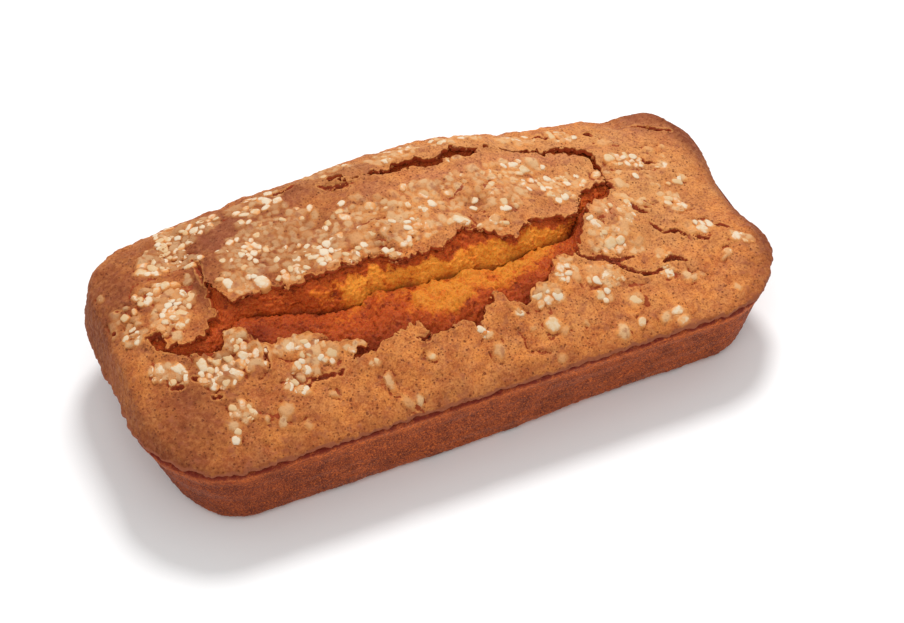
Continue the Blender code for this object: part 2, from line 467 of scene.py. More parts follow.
SPLIT_FRONT = (
    (-91.5, -6.8), (-90.1, -9.2), (-86.5, -11), (-82.1, -12.6), (-78.8, -14.6), (-74.3, -15.2),
    (-72.5, -13.4), (-71.7, -9.8), (-68, -10.8), (-64.6, -13.4), (-62.2, -16.8), (-59.9, -18.8),
    (-57, -17.8), (-52, -18.6), (-48.5, -19.6), (-45, -21.3),
    (-42, -24.6), (-38.5, -25), (-34, -26.3), (-33.3, -28), (-37, -29), (-40.5, -30.2), (-37.5, -31.6),
    (-30.5, -31), (-28.5, -29), (-22, -28), (-19, -26.8), (-16, -27.4), (-14, -31), (-8, -31.6),
    (-3, -31), (0, -32.3), (2.5, -32), (4.5, -29.5), (7.5, -27.5), (10, -25), (11.5, -26.3),
    (12.5, -28.6), (15, -30), (18.5, -30.8), (20.5, -29.5), (23.5, -26.6), (27, -26), (29.5, -23.5),
    (32, -19.5), (35, -18.3), (38, -20), (41.5, -18.6), (43.5, -15), (45.5, -12.2), (48, -9.5),
    (50.5, -5), (52.5, -2.2), (56.5, -0.5), (60.5, 0.6), (63, 3.2), (65.5, 5.5),
)
SPLIT_BACK = (
    (65.8, 8.6), (63, 8.2), (60, 7.3), (58, 6), (55.5, 5.2), (53.5, 3.6), (51, 1), (49.5, -1.8),
    (48, -4.6), (44, -5.2), (38, -4.8), (34.5, -5.6), (30, -6.6), (28, -8.2), (25.5, -9.8), (23, -11),
    (20.5, -10.2), (17.5, -8.8), (15, -7.2), (12.5, -5.4), (10, -3.6), (7.5, -4.2), (5, -5.8),
    (2.5, -7.2), (0, -8.4), (-4, -7.8), (-8, -7.4), (-12, -8.4), (-15.5, -8), (-18.5, -4.6),
    (-22, -3.7), (-26, -5.2), (-30, -3.6), (-34, -5.4), (-38, -4.4), (-42, -3.6), (-46, -4.2),
    (-50, -3.8), (-54, -1.6), (-58, -1.2), (-62, -1.6), (-65.5, -1.2), (-68, 2.5),
    (-69.8, 8.5), (-71, 4), (-71.2, -2.3), (-74.2, -3.1), (-74.8, -6.2), (-76.3, -8.2),
    (-80.1, -8.2), (-84.4, -7.2), (-88.3, -7.4), (-88.9, -3.4), (-91.5, -2.2), (-92.4, -4.5),
)
BACK_CRACK = (
    (-31, 33), (-28.5, 32.3), (-26, 30.6), (-22.5, 31), (-19, 31), (-15.5, 29), (-13, 27.4),
    (-9, 28.8), (-3, 28.6), (3, 29.4), (8.5, 30.2), (12, 27.8), (15.5, 28.4), (19.5, 31.2),
    (23, 29.8), (27, 28.6), (31.5, 29.4), (37, 28.2), (44, 28), (51, 28), (56.5, 28.3), (61, 26.6),
    (64.5, 24.6), (67.2, 20), (66.6, 15.5), (66.2, 11), (64.8, 10.2), (64.6, 13), (63.6, 16),
    (64.4, 19), (61.5, 21), (57, 23), (51, 24.3), (44, 24.8), (37, 25.6), (34, 28), (30.5, 28),
    (27, 25.2), (24, 22.8), (20, 25.6), (16.5, 25), (12.5, 21.8), (9, 23.6), (4, 24.4), (-2, 24.2),
    (-8, 26), (-11.5, 26.4), (-14.5, 25.2), (-18, 27.4), (-22, 29.2), (-27, 31.6),
)


@dataclass(frozen=True)
class SmallCrack:
    """A narrow crack along a path, widest at its middle."""

    path: tuple[tuple[float, float], ...]
    width: float


SMALL_CRACKS = (
    # right front
    SmallCrack(((40.4, -19), (44.2, -20.5), (48.5, -20.9), (50.6, -22.4), (54, -23.2), (58.3, -23)), 1.5),
    SmallCrack(((48.5, -20.9), (50.4, -23.5), (54.8, -27.1), (58.8, -29.6), (62.3, -29.7), (67.6, -28.4)), 1.3),
    SmallCrack(((66.9, -27), (70.3, -25.9), (74.4, -28.5)), 1.5),
    SmallCrack(((69.7, -11.4), (71, -13.6), (72.5, -16.3), (77.8, -16.5), (79.4, -18.9)), 1.3),
    SmallCrack(((81.8, -19.8), (83.5, -21.4), (85.9, -22.4)), 1.4),
    SmallCrack(((90.9, -17), (93, -17.5), (95, -19.2)), 1.3),
    SmallCrack(((67.5, -3), (68.5, -6.5), (71, -8)), 1.4),
    # right back
    SmallCrack(((82.5, 17.8), (82.5, 15.6), (86.9, 13.9)), 1.1),
    SmallCrack(((52, 35.5), (55, 33.5), (60, 32)), 1.1),
    SmallCrack(((69, 33), (71, 31.5)), 1.5),
    SmallCrack(((-25.5, 29.2), (-22, 26.4), (-18, 25.4), (-14.8, 26.2)), 0.9),
    SmallCrack(((-31, 33), (-36, 33.4), (-41, 34)), 0.9),
    SmallCrack(((85.9, 37.9), (90.5, 34.4), (94.6, 31.8), (100, 30)), 0.7),
    # left
    SmallCrack(((-70.2, 20), (-70, 14), (-70.6, 9)), 1.3),
    SmallCrack(((-92.7, -1.6), (-88.9, -2.2), (-89.5, -6)), 1.4),
    SmallCrack(((-84.8, -19.5), (-83.5, -20.9), (-81.4, -22.7)), 1.2),
    SmallCrack(((-91.5, -20.1), (-88.5, -20.6)), 1.6),
    SmallCrack(((-81.5, -27.2), (-79, -28)), 1.3),
    SmallCrack(((-97.2, 13.9), (-96.0, 13.2)), 0.8),
    SmallCrack(((-100.6, 7.8), (-99.6, 7.2)), 0.8),
    SmallCrack(((-97.3, 2.5), (-96.0, 1.8)), 0.9),
    SmallCrack(((85.2, -5.6), (86.4, -7.0)), 0.9),
    SmallCrack(((-61.8, -18.7), (-62.8, -22.2), (-63.1, -24.9)), 1.2),
    # front
    SmallCrack(((-42.3, -31.9), (-43.6, -33), (-47.3, -32.5), (-51.9, -32.1), (-53.8, -33.6), (-56.4, -35.2)), 0.8),
    SmallCrack(((-18.5, -31), (-16, -32.6), (-13.5, -31)), 1.2),
    SmallCrack(((0.5, -31), (1.5, -35)), 1.2),
)
HAIRLINES = (
    ((69, 14.5), (74.7, 13.4), (80.6, 12), (89.4, 10.4)),
    ((-78.8, 20.7), (-76.4, 19.3), (-72.2, 17.4)),
    ((25.7, 12), (23.1, 9.9), (21, 9.1)),
    ((16.8, 12.5), (14, 11), (11.1, 8.2), (7.9, 9.3)),
    ((-55.9, 32), (-53.3, 32.6), (-50.6, 31.8)),
    ((-84, -12.2), (-83.1, -13.9), (-83.3, -15.7), (-84.8, -17.1)),
    ((-60, -23), (-56.1, -25), (-53.9, -25.5), (-54.5, -28)),
    ((-93.2, -10.3), (-94.2, -12.1)),
    ((-66.5, -26.3), (-64.5, -26.3)),
    ((-92, 15.5), (-90, 20), (-84, 20.5), (-80, 20)),
    ((11.5, -36.5), (12.5, -40), (13.5, -42)),
    ((14, -43.5), (17, -45.5), (20, -44.5)),
    ((24, -30), (27, -32), (31, -30.5)),
    ((12, -30), (14, -33.5)),
    ((-23.1, 25.7), (-19.6, 25.2), (-14.5, 24.6)),
    ((-78.3, -30.7), (-78.6, -33)),
    ((-20, 9), (-16, 8), (-12, 8.5)),
    ((72, -2), (75, -4.5), (78.5, -4)),
    ((52.5, -31.5), (57, -33), (61, -32)),
)


class Tears:
    """Where the crust is torn away, as distances over the plan."""

    CRACK_CLOSING = 0.55

    def __init__(self, ragged: Unevenness) -> None:
        """Keeps the unevenness that frays the torn edges."""
        self.ragged = ragged
        self.split = np.array(SPLIT_FRONT + SPLIT_BACK, float)
        self.crack = np.array(BACK_CRACK, float)

    def wide(self, x: Array, y: Array) -> Array:
        """Distance to the split and the back crack, negative inside them."""
        place = np.stack([x, y, np.zeros_like(x)], axis=1)
        fray = 0.75 * self.ragged.at(place, 2.6) + 0.90 * self.ragged.at(place, 1.1)
        split = outline_distance(x, y, self.split)
        crack = outline_distance(x, y, self.crack) + self.CRACK_CLOSING
        near = np.minimum(split, crack)
        return near + fray * bell(near, 2.5)

    def narrow(self, x: Array, y: Array) -> Array:
        """Distance to the small cracks, negative inside them."""
        place = np.stack([x, y, np.full_like(x, 9.0)], axis=1)
        wander = 0.42 * self.ragged.at(place, 2.4) + 0.34 * self.ragged.at(place, 1.15)
        nearest = np.full(x.shape, 1e9)
        for crack in SMALL_CRACKS:
            path = np.array(crack.path, float)
            middle = path.mean(axis=0)
            reach = np.max(np.hypot(*(path - middle).T)) + 0.5
            taper = np.clip(1.15 - (np.hypot(x - middle[0], y - middle[1]) / reach) ** 2, 0.2, 1.0)
            away = outline_distance(x, y, path, closed=False)
            nearest = np.minimum(nearest, away - crack.width * taper / 2)
        return nearest + wander * bell(nearest, 1.4)

    def hairline(self, x: Array, y: Array) -> Array:
        """Distance to the nearest crack that is too fine to open."""
        place = np.stack([x, y, np.full_like(x, 21.0)], axis=1)
        astray_x = x + 0.9 * self.ragged.at(place, 2.2)
        astray_y = y + 0.9 * self.ragged.at(place + 40.0, 2.2)
        lines = (outline_distance(astray_x, astray_y, np.array(line, float), closed=False) for line in HAIRLINES)
        return np.minimum.reduce(list(lines))


# ------------------------------------------------------------- the pearl sugar


@dataclass(frozen=True)
class SugarDrift:
    """A patch of pearl sugar: its middle, reach, slant in degrees and lumps.

    bare is the share of its lumps whose tops stand out of the crust.
    """

    x: float
    y: float
    reach_x: float
    reach_y: float
    turn: float
    count: int
    bare: float = 0.6
    size: float = 2.8


DRIFTS = (
    # left back shoulder
    SugarDrift(-78, 27, 8, 6, 20, 34, 0.75),
    SugarDrift(-71, 35, 6, 7, 30, 22, 0.6),
    SugarDrift(-73, 21, 5, 3, 0, 8, 0.7),
    SugarDrift(-62, 34, 6, 4, 0, 14, 0.5),
    SugarDrift(-45, 33, 9, 5, 0, 14, 0.35),
    SugarDrift(-99, 22, 1.5, 1.5, 0, 1, 1.0, 3.4),
    # left shoulder
    SugarDrift(-84, 2, 5, 7, 0, 26, 0.7),
    SugarDrift(-80, 7, 5, 4, 0, 10, 0.7),
    SugarDrift(-86, 13, 5, 3.5, 0, 10, 0.5),
    SugarDrift(-96, 8, 4, 6, 0, 8, 0.3),
    SugarDrift(-95, 2, 3, 3, 0, 4, 0.6),
    SugarDrift(-76, 14, 4, 3, 0, 3, 0.1),
    # left of the split's front edge
    SugarDrift(-91, -14.5, 5, 2.6, -28, 8, 0.85, 3.1),
    SugarDrift(-88, -18, 3, 1.6, 0, 3, 0.5),
    SugarDrift(-77, -20.5, 5.5, 5.5, 0, 26, 0.9, 2.9),
    SugarDrift(-70, -13.5, 3.4, 3.0, 0, 10, 0.75, 2.6),
    SugarDrift(-66, -20, 4.5, 4.0, 0, 14, 0.5, 2.7),
    SugarDrift(-54, -20.5, 6, 2.2, 0, 15, 0.7, 2.9),
    SugarDrift(-48, -25.5, 6, 3.0, -20, 16, 0.8, 2.9),
    SugarDrift(-37, -27.3, 3.4, 1.6, -15, 5, 0.6, 2.9),
    SugarDrift(-57.5, -32, 2.4, 2.6, 0, 6, 0.7, 3.2),
    SugarDrift(-53, -28.5, 4, 1.8, -20, 6, 0.6, 3.2),
    # front shoulder, one by one
    SugarDrift(-75, -34.5, 3.6, 2.6, -20, 6, 0.8, 3.0),
    SugarDrift(-79, -39.5, 2.0, 2.6, 0, 3, 0.6, 3.0),
    SugarDrift(-66, -39, 4, 3, 0, 3, 0.1, 2.4),
    SugarDrift(-47.5, -38, 1, 1, 0, 1, 0.3, 3.4),
    SugarDrift(-33, -33.5, 1.4, 1.2, 0, 2, 0.8, 2.8),
    SugarDrift(-31, -38.5, 1, 1, 0, 1, 0.3, 3.0),
    SugarDrift(-17, -37, 1.2, 1, 0, 1, 0.6, 3.4),
    SugarDrift(-58, -43, 1, 1, 0, 1, 0.0, 2.6),
    SugarDrift(2, -35.5, 1.4, 1.8, 0, 2, 0.6, 2.8),
    SugarDrift(4.5, -41, 1.6, 1.2, 0, 1, 0.2, 3.4),
    SugarDrift(-26, -46, 2, 1, 0, 2, 0.1, 2.6),
    SugarDrift(14.5, -32, 1.6, 1.2, 0, 2, 1.0, 3.2),
    SugarDrift(22, -38, 1.4, 1.4, 0, 1, 0.4, 3.4),
    SugarDrift(17.5, -38.5, 1, 1, 0, 1, 0.3, 2.4),
    SugarDrift(26.5, -41, 1, 1, 0, 1, 0.2, 2.8),
    SugarDrift(34, -41, 1, 1, 0, 1, 0.1, 2.8),
    SugarDrift(22, -47.5, 1, 1, 0, 1, 0.1, 2.8),
    # front right
    SugarDrift(25, -30.5, 4.5, 2.6, 15, 11, 0.6, 3.0),
    SugarDrift(34, -24.5, 3.4, 3.4, 30, 7, 0.5, 2.8),
    SugarDrift(36, -21, 1.8, 1.4, 0, 3, 0.9, 3.2),
    SugarDrift(46, -28, 6, 3.4, -10, 16, 0.6, 3.1),
    SugarDrift(43, -33.5, 2.4, 1.6, 0, 4, 0.8, 2.8),
    SugarDrift(53, -37, 1.8, 0.8, 0, 1, 1.0, 3.6),
    SugarDrift(50.5, -44, 1, 1.4, 0, 1, 0.7, 3.2),
    SugarDrift(63.5, -45.5, 0.8, 2.0, 0, 2, 1.0, 3.4),
    SugarDrift(43.5, -46, 1, 1, 0, 1, 0.2, 3.0),
    SugarDrift(58, -45, 1, 1, 0, 1, 0.1, 2.4),
    SugarDrift(84.5, -42, 1, 1.4, 0, 1, 0.5, 3.2),
    # right cluster beside the split
    SugarDrift(50, -9, 2.4, 4.0, 20, 9, 0.85, 3.6),
    SugarDrift(53, -14, 4, 3, 0, 9, 0.6, 3.0),
    SugarDrift(57, -3.5, 3.6, 2.6, 30, 9, 0.55, 2.8),
    SugarDrift(63.5, -7.5, 3, 2.6, 40, 6, 0.9, 3.8),
    SugarDrift(60, -12.5, 2, 3, 0, 5, 0.7, 3.0),
    SugarDrift(67, -1.5, 2, 1.6, 0, 3, 0.4, 2.6),
    SugarDrift(52, -17.5, 6, 2.0, -8, 9, 0.4, 2.8),
    SugarDrift(69, 6, 2.4, 2.0, 0, 5, 0.7, 2.8),
    SugarDrift(68.5, -24.5, 2.6, 1.6, 0, 4, 0.6, 3.0),
    SugarDrift(61, -20, 3, 2, 0, 4, 0.3, 3.0),
    SugarDrift(67, -30, 3, 1.6, 0, 4, 0.4, 2.8),
    # right end
    SugarDrift(82.5, -6, 3, 3.4, 0, 5, 0.5, 3.0),
    SugarDrift(85, -16.5, 5, 1.4, -12, 6, 0.6, 3.0),
    SugarDrift(97, -25, 3, 1.4, -35, 4, 0.8, 3.2),
    SugarDrift(88, -30, 2.4, 1.4, 0, 2, 0.5, 3.0),
    SugarDrift(75, -33, 4, 2, 0, 3, 0.2, 2.8),
    SugarDrift(92, 5, 3.6, 2.2, 0, 3, 0.5, 2.8),
    SugarDrift(84, -2, 2, 2, 0, 3, 0.4, 2.8),
    SugarDrift(90, 21, 3, 4, 0, 3, 0.6, 3.0),
    # right back, along the crack
    SugarDrift(76, 17, 6, 2.4, -12, 18, 0.75, 3.0),
    SugarDrift(86, 13.5, 3, 1.4, 0, 5, 0.7, 2.8),
    SugarDrift(75, 27, 3, 2, 0, 3, 0.2, 2.6),
    SugarDrift(60, 33, 5, 2.6, 0, 8, 0.4, 2.6),
    SugarDrift(45, 34, 7, 3.0, 0, 12, 0.5, 2.6),
    # bank behind the back crack
    SugarDrift(2, 34, 9, 3, 0, 14, 0.6, 2.6),
    SugarDrift(24, 35, 9, 3, 0, 12, 0.5, 2.6),
    SugarDrift(-20, 36, 8, 3, 0, 12, 0.5, 2.6),
    # plate, left part
    SugarDrift(-52, 15.5, 7, 3.6, 10, 20, 0.7, 3.0),
    SugarDrift(-61, 12, 3, 4, 0, 6, 0.35, 2.8),
    SugarDrift(-64.5, 5, 2.4, 2.4, 0, 4, 0.8, 3.2),
    SugarDrift(-58, 4, 4, 4, 0, 9, 0.4, 2.6),
    SugarDrift(-61, 1.5, 3.4, 1.8, 0, 5, 0.9, 3.0),
    SugarDrift(-40, 3, 6, 4.4, 0, 20, 0.65, 2.9),
    SugarDrift(-46, -0.5, 4, 2.4, 0, 7, 0.55, 2.8),
    SugarDrift(-33, 0, 4, 3, 0, 9, 0.9, 3.1),
    SugarDrift(-31, 8, 4, 5, 0, 7, 0.3, 2.8),
    SugarDrift(-35, 19, 6, 5, 0, 8, 0.25, 2.8),
    SugarDrift(-28, -2.5, 2.6, 1.8, 0, 4, 0.8, 3.0),
    SugarDrift(-45, 25, 9, 4, 0, 9, 0.2, 2.6),
    # plate, middle and right parts
    SugarDrift(-21, 1, 4, 4, 0, 9, 0.45, 2.8),
    SugarDrift(-9, 0.5, 3, 5, 0, 8, 0.5, 2.8),
    SugarDrift(-16, -5.5, 3, 1.6, 0, 4, 0.8, 2.8),
    SugarDrift(8, -0.5, 3, 1.8, 0, 4, 0.95, 3.8),
    SugarDrift(2, 15, 5, 3.4, 0, 7, 0.3, 3.0),
    SugarDrift(-20, 15, 6, 6, 0, 8, 0.15, 2.6),
    SugarDrift(0, 3, 12, 7, 0, 12, 0.25, 2.6),
    SugarDrift(18, -6, 4, 2.4, 0, 7, 0.6, 2.8),
    SugarDrift(27, 4, 6, 6, 0, 11, 0.4, 2.6),
    SugarDrift(23, 15, 6, 5, 0, 6, 0.2, 2.6),
    SugarDrift(42, 10, 7, 3.4, 0, 20, 0.55, 3.0),
    SugarDrift(53, 10.5, 5, 3.4, 0, 10, 0.4, 2.8),
    SugarDrift(46, 3.5, 4, 2.4, 0, 6, 0.6, 3.0),
    SugarDrift(37, 18, 10, 3, 0, 9, 0.15, 2.6),
    SugarDrift(17, 26, 5, 2, 0, 4, 0.4, 2.6),
    # thin strewing between the patches
    SugarDrift(-48, 14, 15, 10, 0, 34, 0.12, 2.5),
    SugarDrift(-15, 8, 17, 9, 0, 26, 0.12, 2.4),
    SugarDrift(22, 10, 20, 9, 0, 26, 0.10, 2.4),
    SugarDrift(72, 4, 14, 14, 0, 12, 0.10, 2.4),
)


@dataclass
class Lump:
    """One lump of pearl sugar: its place, half sizes, slant, and its look."""

    x: float
    y: float
    long: float
    short: float
    thick: float
    turn: float
    proud: float
    white: float
    bare: bool

    @property
    def reach(self) -> float:
        """Its mean half size in plan."""
        return (self.long + self.short) / 2

    def away(self, x: Array, y: Array) -> Array:
        """Distance from its middle, 1 being its outline."""
        along = (x - self.x) * math.cos(self.turn) + (y - self.y) * math.sin(self.turn)
        across = (y - self.y) * math.cos(self.turn) - (x - self.x) * math.sin(self.turn)
        return (np.abs(along / self.long) ** 3.4 + np.abs(across / self.short) ** 3.4) ** (1 / 3.4)


@dataclass
class PearlSugar:
    """All the lumps: where they lie, how they lift the crust, and their meshes."""

    COLLAR: ClassVar[float] = 0.26

    seed: int = 41
    closeness: float = 0.80
    plenty: float = 1.5
    detail: int = 3
    warp: Unevenness = field(default_factory=lambda: Unevenness(47))
    lumps: list[Lump] = field(default_factory=list)

    def scatter(self, tears: Tears) -> None:
        """Lays the lumps of every drift, clear of each other and of the tears."""
        rng = np.random.default_rng(self.seed)
        for drift in DRIFTS:
            self._lay(drift, rng, tears)

    def _lay(self, drift: SugarDrift, rng: np.random.Generator, tears: Tears) -> None:
        """Lays one drift."""
        tries = 90 * drift.count
        radius = np.sqrt(rng.uniform(0, 1, tries))
        angle = rng.uniform(0, 2 * math.pi, tries)
        along, across = drift.reach_x * radius * np.cos(angle), drift.reach_y * radius * np.sin(angle)
        turn = math.radians(drift.turn)
        x = drift.x + along * math.cos(turn) - across * math.sin(turn)
        y = drift.y + along * math.sin(turn) + across * math.cos(turn)
        sizes = np.clip(drift.size * rng.lognormal(-0.03, 0.30, tries), 1.7, 5.0)
        clear = tears.wide(x, y) > 0.30 * sizes
        left = round(drift.count * (self.plenty if drift.count > 3 else 1.0))
        for k in np.nonzero(clear)[0]:
            if left == 0:
                break
            gaps = [math.hypot(x[k] - lump.x, y[k] - lump.y) / (sizes[k] / 2 + lump.reach) for lump in self.lumps]
            if gaps and min(gaps) < self.closeness:
                continue
            self.lumps.append(self._lump(x[k], y[k], sizes[k], drift.bare, rng))
            left -= 1

    @staticmethod
    def _lump(x: float, y: float, size: float, bare: float, rng: np.random.Generator) -> Lump:
        """Draws one lump about size millimetres across."""
        stretch = rng.uniform(1.0, 1.6)
        long = size / 2 * math.sqrt(stretch)
        short = size / 2 * rng.uniform(0.86, 1.05) / math.sqrt(stretch)
        thick = size / 2 * rng.uniform(0.7, 0.9)
        turn = rng.uniform(0, math.pi)
        white = rng.uniform(0, 1)
        shows = rng.uniform(0, 1) < 0.12 + 0.86 * bare
        return Lump(x, y, long, short, thick, turn, rng.uniform(0.26, 0.54), white, shows)

    def lift(self, points: Array) -> tuple[Array, Array, Array]:
        """How the lumps shape and colour the crust over them.

        Args:
            points: places on the crust.

        Returns:
            The crust's rise in millimetres, how near a lump each place is, from 0
            at two radii over 0.5 at its outline to 1, and how white that lump is.
        """
        rise, touch, white = np.zeros(len(points)), np.zeros(len(points)), np.zeros(len(points))
        x = points[:, 0] + 0.45 * self.warp.at(points, 1.5)
        y = points[:, 1] + 0.45 * self.warp.at(points + 60.0, 1.5)
        for lump in self.lumps:
            reach = 2.1 * lump.long
            near = np.nonzero((np.abs(x - lump.x) < reach) & (np.abs(y - lump.y) < reach))[0]
            away = lump.away(x[near], y[near])
            if lump.bare:
                swell = self.COLLAR * (1.0 - fade(away, 0.95, 1.5))
            else:
                swell = 0.12 * (lump.long + lump.short) * (1.0 - fade(away, 0.35, 1.35))
            rise[near] = np.maximum(rise[near], swell)
            close = np.clip(1.0 - away / 2, 0.0, 1.0)
            nearer = close > touch[near]
            touch[near] = np.where(nearer, close, touch[near])
            white[near] = np.where(nearer, lump.white, white[near])
        return rise, touch, white

    def mesh(self, ground: "CrustTop") -> Sheet:
        """Builds the bare lumps as one sheet of closed stones.

        Args:
            ground: the crust that the lumps sit in.

        Returns:
            The lumps, with masks of how white each is and how high each place is.
        """
        rng = np.random.default_rng(self.seed + 1)
        ball, ball_faces = round_ball(self.detail)
        places, faces, white, high = [], [], [], []
        for lump in (item for item in self.lumps if item.bare):
            stone = self._stone(ball, lump, rng)
            foot, up = ground.stand(lump.x, lump.y)
            side = np.cross([-math.sin(lump.turn), math.cos(lump.turn), 0.0], up)
            side /= np.linalg.norm(side)
            turned = stone @ np.stack([side, np.cross(up, side), up])
            faces.append(ball_faces + len(ball) * len(places))
            places.append(foot + up * (lump.proud - lump.thick) + turned)
            white.append(np.full(len(ball), lump.white))
            high.append(np.clip((stone[:, 2] + lump.proud - lump.thick) / 0.6, 0.0, 1.0))
        masks = {"white": np.concatenate(white), "high": np.concatenate(high)}
        return Sheet(np.concatenate(places), np.concatenate(faces), masks)

    @staticmethod
    def _stone(ball: Array, lump: Lump, rng: np.random.Generator) -> Array:
        """Shapes a ball into one blocky lump with worn corners."""
        around, upward = rng.uniform(2.3, 3.7), rng.uniform(3.4, 6.0)
        plan = np.sum(np.abs(ball[:, :2]) ** around, axis=1) ** (1 / around)
        block = ball / ((plan**upward + np.abs(ball[:, 2]) ** upward) ** (1 / upward))[:, None]
        dents = rng.normal(size=(5, 3)) * np.array([1.0, 1.0, 0.6])
        dents /= np.linalg.norm(dents, axis=1, keepdims=True)
        for dent in dents:
            over = np.clip(block @ dent - rng.uniform(0.80, 1.06), 0, None)
            block = block - over[:, None] * dent * 0.85
        return block * np.array([1.2 * lump.long, 1.2 * lump.short, lump.thick])


# ------------------------------------------------------------------- the crust


ROSE_PATCHES = (
    Swell(-54, 26, 1.1, 6, 3.4), Swell(-60, 26, 0.6, 5, 5), Swell(-13, 19, 0.8, 6, 3), Swell(10, 18, 1.0, 6, 2.6),
    Swell(22, 18, 0.9, 3.4, 3.6), Swell(-41, 20, 0.6, 4, 3), Swell(44, 21.5, 0.9, 11, 2.4), Swell(36, 6, 0.6, 7, 2),
    Swell(57, -5, 0.7, 4, 3), Swell(44, -3, 0.5, 9, 2), Swell(-35, 31, 0.7, 6, 3), Swell(3, 2, 0.4, 5, 3),
    Swell(-25, 9, 0.5, 4, 3), Swell(26, 6, 0.4, 5, 3), Swell(97, 39, 1.2, 9, 7), Swell(-55, 8, 0.3, 14, 8),
)
# Darker crust: partly darker bake, partly painted shade: the left of the plate and the back left darkened as if lit
# from the right, the shadow beside the plate's left edge, and the shade in the hollows of the crown.
BAKE_AND_SHADE_PATCHES = (
    Swell(-50, 14, 0.66, 20, 14), Swell(-5, 8, 0.16, 30, 12), Swell(-38, 34, 0.40, 30, 6), Swell(-72, 31, 0.42, 12, 9), Swell(98, 39, 0.62, 9, 7), Swell(105, 28, 1.0, 3, 8), Swell(-95, 26, 0.30, 7, 10),
    Swell(-104, -5, 0.16, 11, 26), Swell(-100, 18, 0.35, 8, 12), Swell(-92, -27, 0.40, 12, 9),
    Swell(-72.5, 8, 0.55, 1.8, 6), Swell(-70.5, 18, 0.4, 1.6, 4), Swell(106, -24, 0.6, 4, 10),
    Swell(-90, -40, 0.35, 16, 10), Swell(104, 0, 0.4, 3, 12), Swell(-96, 12, 0.3, 6, 5),
    Swell(16, 4.8, 0.55, 2.8, 1.6), Swell(-34.4, 16, 0.6, 1.3, 2.3), Swell(-18, -0.2, 0.5, 1.3, 1.5),
    Swell(-30, 5.4, 0.3, 3, 2), Swell(10, 15.2, 0.3, 5, 1.2), Swell(-88, -23, 0.3, 3, 2),
    Swell(22, 13.5, 0.25, 3, 1.2), Swell(-50, -38, 0.15, 25, 6), Swell(-73, -19, 0.6, 8, 6), Swell(95, -39, 0.22, 8, 6),
)
# Paler crust: partly paler bake, partly painted light, as on the bank behind the back crack, lightened against the
# shade that falls on it.
PALE_AND_LIT_PATCHES = (
    Swell(-22, 8, 0.10, 22, 14), Swell(30, 12, 0.5, 28, 16), Swell(78, 12, 0.75, 18, 18), Swell(10, 33, 0.6, 50, 6),
    Swell(66, -18, 0.35, 22, 12), Swell(40, -35, 0.15, 30, 8),
)


